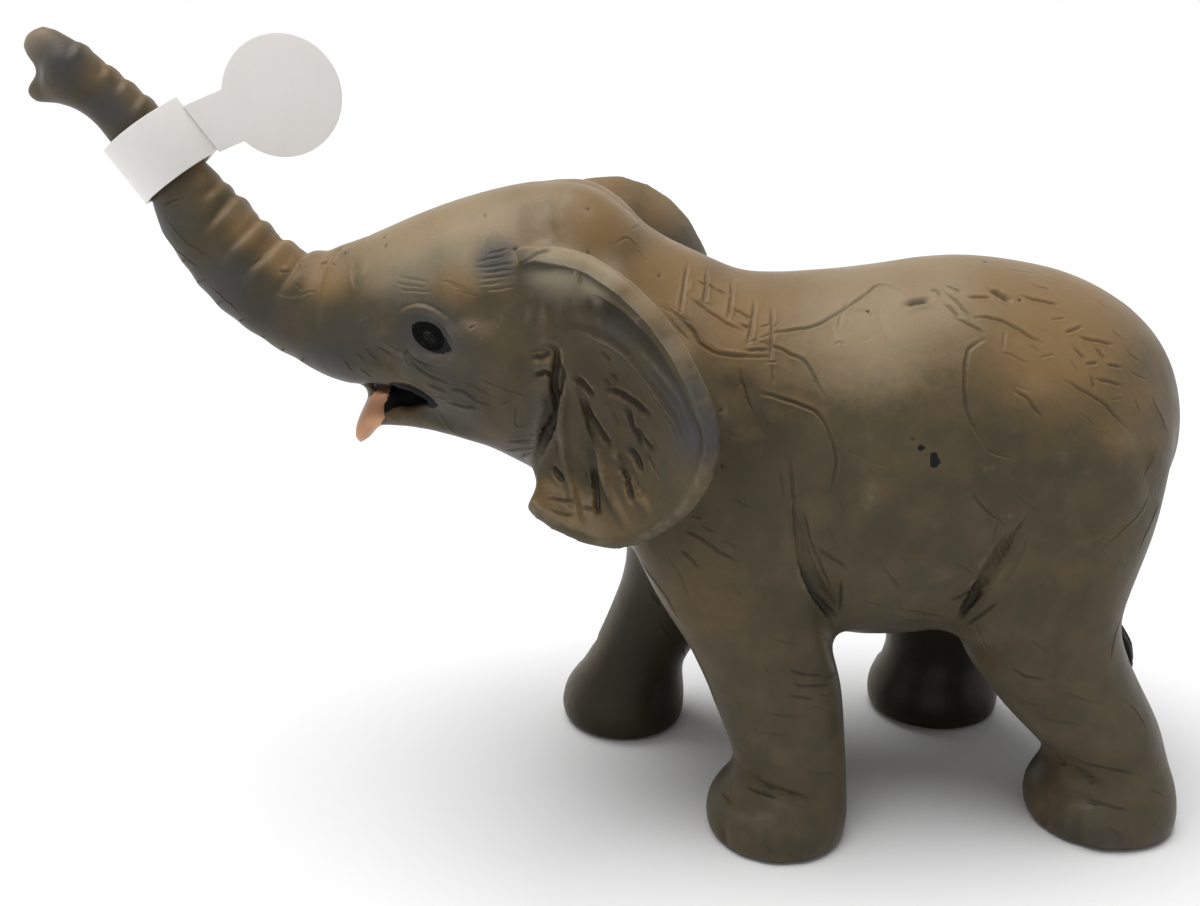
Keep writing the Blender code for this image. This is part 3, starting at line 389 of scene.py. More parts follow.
FRONT_LEG_MARKS = {
    "crease": (
        (785, 668, 795, 672, 808, 675, 826, 674), (790, 682, 805, 686, 830, 684),
        (788, 695, 802, 698, 815, 698), (740, 765, 748, 772, 757, 778), (745, 785, 758, 790, 775, 795),
        (745, 777, 765, 788, 790, 796, 812, 803),
    ),
    "tuck": ((733, 758, 742, 773, 755, 784, 772, 791, 790, 797, 822, 806),),
    "dent": (
        (722, 812, 723, 838, 730, 860), (750, 824, 753, 848, 760, 868), (788, 832, 790, 850, 796, 868),
        (722, 792, 745, 806, 775, 815),
    ),
    "fine": (
        (770, 638, 784, 642, 800, 645), (825, 678, 838, 672), (810, 706, 825, 708), (820, 692, 835, 700),
        (762, 664, 772, 676), (720, 830, 726, 846, 735, 860), (765, 842, 768, 848, 770, 856),
        (800, 842, 803, 856), (748, 725, 765, 731, 790, 735), (760, 710, 780, 716, 805, 716),
        (735, 700, 745, 712), (800, 770, 820, 774, 838, 770), (720, 790, 730, 800),
    ),
    "swell": ((770, 735, 776, 750), (760, 820, 790, 830)),
}

HIND_LEG_MARKS = {
    "tuck": ((1045, 742, 1050, 752, 1058, 760, 1070, 770, 1085, 778, 1105, 790),),
    "dent": (
        (1046, 796, 1044, 820, 1050, 842), (1076, 808, 1077, 832, 1084, 852),
        (1112, 816, 1114, 836, 1120, 850), (1045, 780, 1070, 796, 1100, 804),
    ),
    "crease": (
        (1075, 762, 1105, 768, 1140, 775), (1085, 800, 1108, 806, 1130, 812),
        (1060, 752, 1070, 757, 1084, 762), (1010, 668, 1025, 676, 1046, 680),
        (1050, 753, 1062, 764, 1080, 775, 1100, 787),
    ),
    "fine": (
        (1105, 825, 1116, 832, 1128, 838), (1020, 700, 1040, 706), (1036, 716, 1060, 722, 1085, 724),
        (1150, 790, 1162, 796), (1040, 820, 1046, 834), (1070, 836, 1074, 848),
        (1120, 700, 1136, 712, 1146, 730), (1060, 690, 1085, 700, 1110, 704), (1128, 660, 1140, 680),
        (1030, 640, 1050, 655),
    ),
    "swell": ((1080, 820, 1110, 830),),
}

# Small pits, where the moulding had a bubble: x, y in picture points
PITS = (
    (386, 245), (485, 215), (515, 249), (587, 252), (587, 208), (660, 275), (430, 205), (720, 410),
    (868, 311), (985, 262), (1020, 300), (912, 440), (345, 253), (722, 465), (530, 300),
)
PIT_SIZE = 0.22
PIT_DEPTH = 0.16

# Painted places, as outlines and spots in picture points

EYE_SOCKET = (
    411, 325, 418, 321, 428, 323, 439, 330, 447, 340, 452, 351, 443, 354, 432, 352, 421, 346, 414, 337,
)
EYE_DOME = (430.5, 336.5)
EYE_TAIL = (450, 349)
MOUTH_BLACK = (
    390, 383, 402, 383, 418, 388, 430, 396, 439, 406, 432, 409, 420, 403, 408, 402, 398, 405, 390, 411,
    380, 416, 383, 402, 388, 392,
)
LIP = (
    383, 384, 391, 385, 389, 394, 385, 404, 384, 418, 378, 434, 369, 444, 356, 444, 352, 432, 360, 412,
    372, 394,
)

# The black of the mouth in mm: along X, to each side of the head's middle, along Z, and the height
# that the outline's black stays below. The face lies before FACE_X.
MOUTH_ALONG = (-20.5, -9.0)
MOUTH_HALF = 3.2
MOUTH_HIGH = (33.2, 38.6)
MOUTH_TOP = 39.5
FACE_X = -5

# Painted eyes and dark spots lie only where the skin faces the camera by more than this
TOWARDS_CAMERA = 0.2

# Wash gathers in hollows, and the wide hollows of the second row get painted shade; pale paint is
# rubbed over what stands out. Each row compares the skin with itself after so many rounds of
# evening, then gives for hollows and for rises the depths in mm between which the paint sets in,
# and its strength.
RELIEFS = (
    (5, (0.015, 0.08, 0.45), (0.008, 0.05, 1.0)),
    (60, (0.1, 0.45, 0.3), (0.1, 0.5, 0.5)),
)

# Ranges in which paint sets in: by the way a place faces, and by its height in mm
UPWARD = (0.15, 0.85)
SIDEWAYS = (-0.1, 0.35)
DOWNWARD = (0.2, 0.9)
BACK_HEIGHT = (15, 35)
RUB_HEIGHT = (8, 18)
FEET_HEIGHT = 12

# Shade between the legs: by how much a place faces inward, its height, and behind which X. It is
# darker from HIND_X on.
INWARD = (-0.1, 0.7)
SHADE_HEIGHT = (12, 24)
SHADE_FROM_X = -9
HIND_X = 15
SHADE = 0.75
HIND_SHADE = 0.95

# How strong paint is: brown where a place faces away, brown on all that faces up, partly as painted
# light from above, slate on all that faces down as painted shade, painted shade where its patches
# are full, slate over rubbed paint, and rubbed paint on the low legs
AWAY_BROWN = 0.25
LIT_TOP_BROWN = 0.62
UNDERSIDE_SHADE_SLATE = 0.5
PAINTED_SHADE_SHARE = 0.75
SLATE_OVER_RUB = 0.8
LOW_RUB = 0.25

# Round patches of paint: x, y, radius in picture points, and strength. They fade out a little
# outside their rims, at PATCH_REACH radii.

PATCH_REACH = 1.25
BROWN_PATCHES = (
    (250, 225, 34, 0.9), (285, 250, 36, 1.0), (325, 270, 38, 1.0), (95, 70, 30, 0.5), (130, 95, 26, 0.6),
    (600, 215, 70, 1.0), (670, 275, 75, 1.0), (740, 310, 80, 0.95), (700, 370, 60, 0.3),
    (455, 285, 34, 0.7), (560, 300, 60, 0.2), (1060, 320, 120, 1.0), (1130, 400, 80, 0.5),
    (1000, 290, 80, 0.8), (640, 300, 40, 0.6), (700, 480, 50, 0.3), (700, 600, 80, 0.35),
    (770, 640, 70, 0.15), (1100, 560, 90, 0.15), (600, 520, 50, 0.12), (690, 340, 30, 0.7),
    (780, 300, 60, 0.8), (430, 230, 50, 0.35), (500, 200, 50, 0.35),
)
SLATE_PATCHES = (
    (430, 340, 60, 0.8), (495, 258, 32, 0.9), (706, 430, 48, 1.0), (686, 396, 36, 0.9),
    (560, 290, 50, 0.4), (620, 325, 42, 0.6), (665, 375, 38, 0.5), (400, 290, 50, 0.4),
    (450, 400, 60, 0.45), (350, 350, 60, 0.5), (220, 290, 60, 0.75), (60, 60, 50, 0.8),
    (110, 110, 40, 0.8), (160, 225, 50, 0.7), (540, 400, 50, 0.35), (540, 275, 40, 0.3),
    (330, 365, 50, 0.8), (265, 320, 50, 0.6), (1100, 830, 80, 0.35), (780, 840, 70, 0.2),
)
# Pale patches: a light grey coat, and on the brow, the ears' rims, the trunk's top and the back also a
# painted highlight
PALE_AND_HIGHLIGHT_PATCHES = (
    (400, 240, 75, 0.8), (470, 220, 80, 0.9), (540, 195, 60, 0.6), (560, 262, 46, 1.0),
    (600, 275, 36, 1.0), (640, 305, 26, 0.8), (675, 350, 24, 0.5), (870, 310, 110, 0.8),
    (940, 285, 90, 0.7), (1000, 275, 90, 0.4), (560, 190, 60, 0.4), (35, 40, 30, 0.6),
    (285, 255, 26, 0.5), (330, 262, 24, 0.5), (240, 215, 20, 0.4), (1060, 300, 60, 0.3),
)
# Patches of painted shade, where shade falls behind and under the ear, under the trunk and the belly
PAINTED_SHADE_PATCHES = (
    (765, 430, 55, 0.6), (735, 460, 60, 0.6), (705, 515, 50, 0.4), (655, 575, 45, 0.1),
    (335, 375, 75, 0.6), (255, 325, 60, 0.5), (180, 260, 50, 0.4), (545, 420, 34, 0.5),
    (470, 425, 50, 0.3), (620, 430, 60, 0.3), (560, 470, 40, 0.35), (505, 262, 26, 0.4),
    (822, 595, 30, 0.5), (968, 605, 30, 0.5), (905, 612, 60, 0.3), (700, 330, 26, 0.35),
    (735, 390, 40, 0.35), (440, 345, 50, 0.2), (1140, 480, 60, 0.2),
)
DARK_SPOTS = ((935, 456, 5), (935, 463, 5), (921, 447, 4), (966, 443, 2.5))

# The skin's faces stay small where more wash and painted shade lies than this, and near painted
# edges: where paint, evened out in rounds, is neither all there nor all gone
BUSY_WASH = 0.1
BUSY_PAINT = 0.02
EDGE_ROUNDS = 4

# The tail is evened out in rounds, with a share of each. Its tuft runs out between two shares of
# its height, and the bare tail's rings are so deep, in mm.
TAIL_ROUNDS = 14
TAIL_SHARE = 0.4
TUFT_ENDS = (0.26, 0.42)
TAIL_RINGS = 0.06

# The flag's root is drawn up to the loop less and less between these distances along it, in mm
ROOT_SPAN = (0.1, 2.0)

# An eye's balls have so many faces round and along them
BALL_ROUND = 48
BALL_ALONG = 32

# The strip's edges are rounded in steps where its faces meet at more than an angle, in degrees,
# and shaded smooth up to another
EDGE_STEPS = 3
EDGE_ANGLE = 40
SMOOTH_ANGLE = 35

# The look of the paints: how much the hide and the eyes mirror, how rough they are, and the
# values between which a painted edge turns crisp
HIDE_SHINE = 0.16
HIDE_ROUGH = 0.41
TAIL_ROUGH = 0.45
EYE_BLACK = (0.04, 0.5)
EYE_GLOSS = (0.08, 0.16)
TAG_ROUGH = 0.36
CRISP = (0.35, 0.65)

# The lights: the way to the broad light, and the lamp beside the camera, places in metres
DAY_WAY = (-0.2, 0.05, 1.0)
FILL_PLACE = (-0.35, -0.55, 0.35)
FILL_AIM = (0.0, 0.0, 0.025)
FILL_SIZE = 0.4


# Settings

def colour(name, description, default):
    """A paint colour, in scene-linear values."""
    return FloatVectorProperty(name=name, description=description, default=default, subtype="COLOR",
                               min=0, max=1, size=3)


def length(name, description, default):
    """A length in metres."""
    return FloatProperty(name=name, description=description, default=default, unit="LENGTH", min=0,
                         precision=5)


def plain(name, description, default):
    """A plain number from zero up."""
    return FloatProperty(name=name, description=description, default=default, min=0)


def whole(name, description, default):
    """A whole number from one up."""
    return IntProperty(name=name, description=description, default=default, min=1)


class CalfHideSettings(bpy.types.PropertyGroup):
    grain: length("Grain", "Size of the skin's faces", 0.3 * MM)
    seam_fill: length("Seam fill", "How far each moulding is swollen before they are melted", 0.18 * MM)
    smoothing: whole("Smoothing", "Rounds of smoothing before the wrinkles", 26)
    faces: whole("Faces", "Triangles of the whole skin", 390000)
    relief: plain("Relief", "Strength of all wrinkles", 1.0)
    olive: colour("Olive", "First coat", (0.073, 0.06, 0.034))
    # Brown is also laid on all that faces up high on the back, partly as painted light from above
    brown: colour("Brown", "Dry-brushed coat on the back, neck and brow", (0.235, 0.148, 0.064))
    # Slate is also laid on all that faces down, as painted shade
    slate: colour("Slate", "Blue-grey shade round the eyes and in the ears' rims", (0.055, 0.056, 0.058))
    # The pale coat is also a painted highlight on the tops, where the light from above falls
    pale: colour("Pale", "Light grey coat on the brow, the ears' tops and the back", (0.37, 0.315, 0.215))
    # The wash colour also lays painted shade in wide hollows, in patches and on the legs' inner sides
    wash_and_shade: colour("Wash", "Dark paint that sits in the creases", (0.014, 0.011, 0.006))
    rub: colour("Rub", "Pale paint rubbed over raised places", (0.24, 0.19, 0.12))
    black: colour("Black", "Paint of the eyes and the mouth", (0.004, 0.004, 0.004))
    salmon: colour("Salmon", "Paint of the lower lip", (0.56, 0.29, 0.165))


class CalfTailSettings(bpy.types.PropertyGroup):
    grain: length("Grain", "Size of the tail's faces", 0.12 * MM)
    hair: length("Hair", "Depth of the grooves between the strands of the tuft", 0.16 * MM)
    tuft: colour("Tuft", "Near-black paint of the tuft", (0.012, 0.011, 0.009))


class CalfTagSettings(bpy.types.PropertyGroup):
    edge: length("Edge", "Rounding of the strip's edges", 0.05 * MM)
    reach: length("Reach", "How far the flag's root is drawn up to the loop", 0.29 * MM)
    plastic: colour("Plastic", "Bare white plastic", (0.86, 0.835, 0.81))


class CalfEyeSettings(bpy.types.PropertyGroup):
    rim: length("Rim", "Length of the black rim of an eye", 3.6 * MM)
    rim_proud: length("Rim proud", "How far the rim stands out of its socket", 0.26 * MM)
    rim_flat: plain("Rim flatness", "Thickness of the rim, as a share of its length", 0.17)
    size: length("Size", "Length of the glossy dome of an eye", 1.5 * MM)
    proud: length("Proud", "How far the dome stands out of its socket", 0.42 * MM)
    flat: plain("Flatness", "Thickness of the dome, as a share of its length", 0.6)
    narrow: plain("Narrow", "Height of an eye, as a share of its length", 0.62)


class CalfStageSettings(bpy.types.PropertyGroup):
    floor: colour("Floor", "Floor and backdrop", (0.93, 0.93, 0.935))
    floor_size: length("Floor size", "Width of the floor", 3.0)
    key_power: plain("Key power", "Strength of the broad light from above", 3.0)
    key_spread: plain("Key spread", "Breadth of the light from above, in degrees", 55.0)
    fill_power: plain("Fill power", "Power of the soft lamp beside the camera, in watts", 0.25)
    sky: plain("Sky", "Strength of the light from all round", 0.25)


# Small helpers

def deselect():
    """Let go of every object."""
    bpy.ops.object.select_all(action="DESELECT")


def choose(*bodies):
    """Select these objects and make the first one active."""
    deselect()
    for body in bodies:
        body.select_set(True)
    bpy.context.view_layer.objects.active = bodies[0]


def change(body, kind, **values):
    """Add a modifier with these values and apply it."""
    choose(body)
    step = body.modifiers.new(kind.lower(), kind)
    for name, value in values.items():
        setattr(step, name, value)
    bpy.ops.object.modifier_apply(modifier=step.name)


def copied(node, name):
    """A copy of a CAD node with its loose triangles merged."""
    body = bpy.data.objects.new(name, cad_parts[node].data.copy())
    bpy.context.scene.collection.objects.link(body)
    body.data.materials.clear()
    choose(body)
    bpy.ops.object.mode_set(mode="EDIT")
    bpy.ops.mesh.select_all(action="SELECT")
    bpy.ops.mesh.remove_doubles(threshold=0.001 * MM)
    bpy.ops.object.mode_set(mode="OBJECT")
    return body


def places_of(body):
    """The points of a mesh as rows of numbers, in mm."""
    numbers = np.zeros(len(body.data.vertices) * 3)
    body.data.vertices.foreach_get("co", numbers)
    return numbers.reshape(-1, 3) / MM


def put_places(body, places):
    """Move the points of a mesh to rows in mm."""
    body.data.vertices.foreach_set("co", (places * MM).ravel())
    body.data.update()


def ways_of(body):
    """The outward way at each point."""
    numbers = np.zeros(len(body.data.vertices) * 3)
    body.data.vertex_normals.foreach_get("vector", numbers)
    return numbers.reshape(-1, 3)


def pairs_of(body):
    """The two ends of each edge."""
    ends = np.zeros(len(body.data.edges) * 2, dtype=np.int64)
    body.data.edges.foreach_get("vertices", ends)
    return ends.reshape(-1, 2)


def relaxed(values, pairs, rounds, share=0.5):
    """Rows of values, each drawn towards the mean of its neighbours, again and again."""
    count = len(values)
    starts = np.concatenate((pairs[:, 0], pairs[:, 1]))
    ends = np.concatenate((pairs[:, 1], pairs[:, 0]))
    degree = np.maximum(np.bincount(starts, minlength=count), 1)
    share = np.broadcast_to(np.asarray(share, dtype=float), count)[:, None]
    for _ in range(rounds):
        mean = np.stack([np.bincount(starts, weights=column[ends], minlength=count) / degree
                         for column in values.T], axis=1)
        values = values + share * (mean - values)
    return values


def point_tree(places):
    """A tree for finding the points near a place."""
    tree = KDTree(len(places))
    for index, place in enumerate(places):
        tree.insert(place, index)
    tree.balance()
    return tree


def eased(values, low, high):
    """0 up to low, 1 from high, and a smooth rise between."""
    share = np.clip((values - low) / (high - low), 0, 1)
    return share * share * (3 - 2 * share)


def at_least(low, share):
    """A share of 0 to 1, squeezed into low to 1."""
    return low + (1 - low) * share


def within(values, low, high):
    """Which values lie between two others."""
    return (values > low) & (values < high)


def beyond(places, seam):
    """How far each place lies beyond a seam's plane, in mm."""
    return (places - np.array(seam[0])) @ np.array(seam[1])


def mirrored(places, mirror):
    """Places in mm on the other side of a mirror plane."""
    point, way = mirror
    return places - 2 * ((places - point) @ way)[:, None] * way


def in_picture(places):
    """Where the camera sees each place, in picture points."""
    offsets = places - CAMERA_PLACE
    depth = offsets @ CAMERA_WAY
    across = PICTURE[0] / 2 + FOCAL * (offsets @ CAMERA_RIGHT) / depth
    down = PICTURE[1] / 2 - FOCAL * (offsets @ CAMERA_UP) / depth
    return np.stack((across, down), axis=1)


def in_outline(spots, outline):
    """Which spots of the picture lie inside an outline."""
    corners = np.array(outline, dtype=float).reshape(-1, 2)
    inside = np.zeros(len(spots), dtype=bool)
    for start, end in zip(corners, np.roll(corners, -1, axis=0)):
        crosses = (start[1] > spots[:, 1]) != (end[1] > spots[:, 1])
        slope = (end[0] - start[0]) / (end[1] - start[1] or 1)
        inside ^= crosses & (spots[:, 0] < start[0] + slope * (spots[:, 1] - start[1]))
    return inside


def keep(body, name, values):
    """Store one value a point under a name, which later cuts share out to new points."""
    body.data.attributes.new(name, "FLOAT", "POINT").data.foreach_set("value", values)


def kept(body, name):
    """Take such a value back."""
    layer = body.data.attributes[name]
    values = np.zeros(len(layer.data))
    layer.data.foreach_get("value", values)
    body.data.attributes.remove(layer)
    return values


def set_channels(body, name, first, second, third):
    """Store three values a point under one name, for the material."""
    layer = body.data.attributes.new(name, "FLOAT_COLOR", "POINT")
    rows = np.stack((first, second, third, np.ones(len(first))), axis=1)
    layer.data.foreach_set("color", np.clip(rows, 0, 1).ravel())


# Marks in the skin

class Mark:
    """One wrinkle or swelling: places along it in mm, the way out of the skin there, and its kind."""

    def __init__(self, places, ways, kind, strength=1.0):
        self.places = places
        self.ways = ways
        self.width, self.depth, self.wash_and_shade, self.lip = KINDS[kind]
        self.depth *= strength
        self.wash_and_shade *= min(strength, 1.0)
        self.broad = kind in BROAD
        share = np.linspace(0, 1, len(places))
        ends = np.clip(np.minimum(share, 1 - share) / TAPER, 0, 1)
        self.strength = np.ones(len(places)) if kind in ROUND else at_least(TIP, ends ** 0.8)


def drawn_line(row, step):
    """A smooth line through the spots of one row, a step apart, in picture points."""
    spots = np.array(row, dtype=float).reshape(-1, 2)
    padded = np.vstack((2 * spots[0] - spots[1], spots, 2 * spots[-1] - spots[-2]))
    line = []
    for before, start, end, after in zip(padded, padded[1:], padded[2:], padded[3:]):
        count = max(int(np.linalg.norm(end - start) / step), 1)
        for share in np.arange(count) / count:
            line.append(0.5 * (2 * start + (end - before) * share
                               + (2 * before - 5 * start + 4 * end - after) * share ** 2
                               + (3 * start - before - 3 * end + after) * share ** 3))
    line.append(spots[-1])
    return np.array(line)


def cast(spots, tree):
    """Where rays through these picture spots meet the skin: places in mm, and the ways out of it."""
    places, ways = [], []
    for across, down in spots:
        way = (CAMERA_WAY + (across - PICTURE[0] / 2) / FOCAL * CAMERA_RIGHT
               + (PICTURE[1] / 2 - down) / FOCAL * CAMERA_UP)
        place, out, _, _ = tree.ray_cast(CAMERA_PLACE, Vector(way))
        if place is not None:
            places.append(place)
            ways.append(out)
    return np.array(places).reshape(-1, 3), np.array(ways).reshape(-1, 3)


def settled(places, tree, reach=2.5):
    """The nearest places of the skin, and the ways out of it."""
    found = [tree.find_nearest(place, reach) for place in places]
    found = [hit for hit in found if hit[0] is not None]
    there = np.array([place for place, _, _, _ in found]).reshape(-1, 3)
    return there, np.array([out for _, out, _, _ in found]).reshape(-1, 3)


def stepped(places, shift):
    """Places of a near leg, moved to where the far leg stands."""
    share = np.clip(1 - places[:, 2] / STEP_TOP, 0, 1)
    return places + shift * share[:, None] * np.array((1, 0, 0))


def wobbled(line, seed):
    """A line with the small unevenness of a hand-held tool."""
    along = np.arange(len(line))
    sway = np.sin(along * 0.31 + seed * 1.7) + 0.6 * np.sin(along * 0.83 + seed * 2.9)
    return line + SWAY * np.stack((sway, -sway), axis=1)


def marks_of(table, tree, mirror, shift=0.0, strength=1.0):
    """The marks of a table on the near side, and their mirror images on the far side."""
    marks = []
    for kind, rows in table.items():
        for seed, row in enumerate(rows):
            line = drawn_line(row, BROAD_STEP if kind in BROAD else FINE_STEP)
            if kind not in BROAD:
                line = wobbled(line, seed)
            places, ways = cast(line, tree)
            if len(places) < 2:
                continue
            marks.append(Mark(places, ways, kind, strength))
            places, ways = settled(stepped(mirrored(places, mirror), shift), tree)
            if len(places) > 1:
                marks.append(Mark(places, ways, kind, strength))
    return marks


def ring_marks(rows, tree, notch, bulge, strength):
    """Notches round the trunk, each with a bulge on the side of the head."""
    marks = []
    for row in rows:
        line = drawn_line(row, FINE_STEP)
        along = line[-1] - line[0]
        side = np.array((-along[1], along[0])) / np.linalg.norm(along)
        if side @ np.array((1.0, 1.0)) < 0:
            side = -side
        for kind, spots in ((notch, line), (bulge, line[::3] + RING_GAP * side)):
            places, _ = cast(spots, tree)
            if len(places) < 3:
                continue
            for one_side in (places, mirrored(places, HEAD_MIRROR)):
                mark = Mark(*settled(one_side, tree), kind, strength)
                left = 1 - np.linspace(0, 1, len(mark.places))
                mark.strength = np.clip(left / RING_FADE, 0, 1)
                marks.append(mark)
    return marks


def all_marks(tree, relief):
    """Every mark of the hide."""
    marks = []
    for table in (HEAD_MARKS, EYE_MARKS, EAR_MARKS, TRUNK_MARKS):
        marks += marks_of(table, tree, HEAD_MIRROR, strength=relief)
    for table in (NECK_MARKS, SHOULDER_MARKS, RUMP_MARKS, BELLY_MARKS, CHEST_MARKS):
        marks += marks_of(table, tree, BODY_MIRROR, strength=relief)
    marks += marks_of(FRONT_LEG_MARKS, tree, BODY_MIRROR, STEP_SHIFT["front_leg"], relief)
    marks += marks_of(HIND_LEG_MARKS, tree, BODY_MIRROR, STEP_SHIFT["hind_leg"], relief)
    marks += ring_marks(TRUNK_RINGS, tree, "notch", "roll", RING_STRENGTH * relief)
    marks += ring_marks(FAINT_RINGS, tree, "notch", "cord", FAINT_STRENGTH * relief)
    return marks


def resettled(marks, tree):
    """Bring marks back onto the skin after it has been reshaped."""
    for mark in marks:
        places, ways = settled(mark.places, tree)
        if len(places) == len(mark.places):
            mark.places, mark.ways = places, ways


def near_mark(mark, places, ways, tree, reach):
    """The points within reach of a mark: their numbers, their distance and its strength there."""
    spacing = np.linalg.norm(mark.places[-1] - mark.places[0]) / len(mark.places) + 0.02
    stride = max(int(BALL_STEP * reach / spacing), 1)
    picked = set()
    for place in np.vstack((mark.places[::stride], mark.places[-1:])):
        picked.update(index for _, index, _ in tree.find_range(place, reach * BALL_SIZE + BALL_MARGIN))
    numbers = np.array(sorted(picked), dtype=np.int64)
    if not len(numbers):
        return numbers, np.zeros(0), np.zeros(0)
    gaps = np.linalg.norm(places[numbers][:, None, :] - mark.places[None, :, :], axis=2)
    closest = gaps.argmin(axis=1)
    gap = gaps[np.arange(len(numbers)), closest]
    close = (np.einsum("ij,ij->i", ways[numbers], mark.ways[closest]) > SAME_WAY) & (gap < reach)
    return numbers[close], gap[close], mark.strength[closest[close]]


def hump(share):
    """1 in the middle, 0 from 1 outwards, smooth."""
    return np.clip(1 - share * share, 0, 1) ** 2


def pressed(skin, marks):
    """Press marks into the skin, and give the wash and the painted shade of broad hollows that each point
    holds.
    """
    places = places_of(skin)
    ways = ways_of(skin)
    tree = point_tree(places)
    sink, lift, lips, wash_and_shade = np.zeros((4, len(places)))
    for mark in marks:
        reach = mark.width * (LIP_AT + LIP_HALF if mark.lip else MARK_REACH)
        numbers, gap, strength = near_mark(mark, places, ways, tree, reach)
        share = gap / mark.width
        height = mark.depth * strength
        if mark.depth > 0:
            lip = mark.lip * height * hump((share - LIP_AT) / LIP_HALF)
            sink[numbers] = np.maximum(sink[numbers], height * hump(share))
            lips[numbers] = np.maximum(lips[numbers], lip)
            wash_and_shade[numbers] = np.maximum(wash_and_shade[numbers], mark.wash_and_shade * strength * hump(share / WASH_SPREAD))
        else:
            lift[numbers] = np.maximum(lift[numbers], -height * hump(share))
    lips *= np.clip(1 - sink / LIP_CLEAR, 0, 1)
    put_places(skin, places + (lift + lips - sink)[:, None] * ways)
    return wash_and_shade


def refined(skin, marks):
    """Cut the faces near fine marks into smaller ones."""
    for widest, spread in CUTS:
        places = places_of(skin)
        ways = ways_of(skin)
        tree = point_tree(places)
        near = np.zeros(len(places), dtype=bool)
        for mark in marks:
            if mark.width <= widest:
                numbers, _, _ = near_mark(mark, places, ways, tree, mark.width * spread + CUT_MARGIN)
                near[numbers] = True
        shape = bmesh.new()
        shape.from_mesh(skin.data)
        shape.verts.ensure_lookup_table()
        edges = {edge for index in np.flatnonzero(near) for face in shape.verts[index].link_faces
                 for edge in face.edges}
        bmesh.ops.subdivide_edges(shape, edges=list(edges), cuts=1, use_grid_fill=True)
        bmesh.ops.triangulate(shape, faces=[face for face in shape.faces if len(face.verts) > 4])
        shape.to_mesh(skin.data)
        shape.free()


def pitted(skin, tree):
    """Small pits on the near side, and every second one on the far side too."""
    places = places_of(skin)
    ways = ways_of(skin)
    points = point_tree(places)
    near, _ = cast(np.array(PITS, dtype=float), tree)
    far, _ = settled(mirrored(near, BODY_MIRROR)[::2], tree)
    sink = np.zeros(len(places))
    for spot in np.vstack((near, far)):
        for _, index, gap in points.find_range(spot, PIT_SIZE):
            sink[index] = PIT_DEPTH * hump(np.array(gap / PIT_SIZE))
    put_places(skin, places - sink[:, None] * ways)
    return sink / PIT_DEPTH


# The hide

def melted(settings):
    """The mouldings of the animal as one smooth skin, with their seams shut."""
    bodies = [copied(node, "skin") for node in HIDE]
    for body in bodies:
        change(body, "DISPLACE", strength=settings.seam_fill, mid_level=0)
    choose(*bodies)
    bpy.ops.object.join()
    skin = bpy.context.active_object
    change(skin, "REMESH", mode="VOXEL", voxel_size=settings.grain)
    change(skin, "DISPLACE", strength=-settings.seam_fill, mid_level=0)
    return skin


def owners(places):
    """Which moulding each point lies on, as its number in HIDE."""
    spots = []
    for index, node in enumerate(HIDE):
        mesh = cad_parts[node].data
        spots += [(face.center.copy(), index) for face in mesh.polygons]
        spots += [(point.co.copy(), index) for point in mesh.vertices]
    tree = point_tree([place for place, _ in spots])
    return np.array([spots[tree.find(place)[1]][1] for place in places * MM])


def owned(owner, nodes):
    """Which points lie on one of these mouldings."""
    return np.isin(owner, [HIDE.index(node) for node in nodes])


def smoothed(skin, settings):
    """Take the flat facets out of the skin. Ears and jaw are thin, so they get less of it."""
    places = places_of(skin)
    pairs = pairs_of(skin)
    owner = owners(places)
    soft = np.full(len(places), SOFTNESS)
    for node, share in THIN_SOFTNESS.items():
        soft[owned(owner, (node,))] = share
    soft = relaxed(soft[:, None], pairs, SOFTNESS_BLEND)[:, 0]
    places = relaxed(places, pairs, settings.smoothing, soft)
    near_throat = hump(np.linalg.norm(places - np.array(THROAT_SPOT), axis=1) / THROAT_ROUND)
    put_places(skin, relaxed(places, pairs, THROAT_EVENING, SOFTNESS * near_throat))


def near_side(places, ways, on_head):
    """Where the camera sees each point, or its twin on the near side, how much that faces the
    camera, and which points are on the far side."""
    seen = places.copy()
    outward = ways.copy()
    far = np.zeros(len(places), dtype=bool)
    for part, mirror in ((on_head, HEAD_MIRROR), (~on_head, BODY_MIRROR)):
        point, way = mirror
        behind = part & ((places - point) @ way > 0)
        seen[behind] = mirrored(places[behind], mirror)
        outward[behind] = mirrored(ways[behind], (0, way))
        far |= behind
    return in_picture(seen), -(outward @ CAMERA_WAY), far


def by_relief(places, ways, pairs, wash_and_shade):
    """How bare of wash and painted shade each point is left, and how much pale paint is rubbed over it."""
    bare = 1 - wash_and_shade
    rubbed = np.zeros(len(places))
    for rounds, hollow, rise in RELIEFS:
        depth = np.einsum("ij,ij->i", relaxed(places, pairs, rounds) - places, ways)
        bare = bare * (1 - hollow[2] * eased(depth, *hollow[:2]))
        rubbed = rubbed + rise[2] * eased(-depth, *rise[:2])
    return bare, np.clip(rubbed, 0, 1)


def between_legs(places, ways):
    """Shade on the inner sides of the legs."""
    inward = -ways[:, 1] * np.sign(places[:, 1] - BODY_MIRROR[0][1])
    shade = np.where(places[:, 0] > HIND_X, HIND_SHADE, SHADE) * eased(inward, *INWARD)
    return shade * (1 - eased(places[:, 2], *SHADE_HEIGHT)) * (places[:, 0] > SHADE_FROM_X)


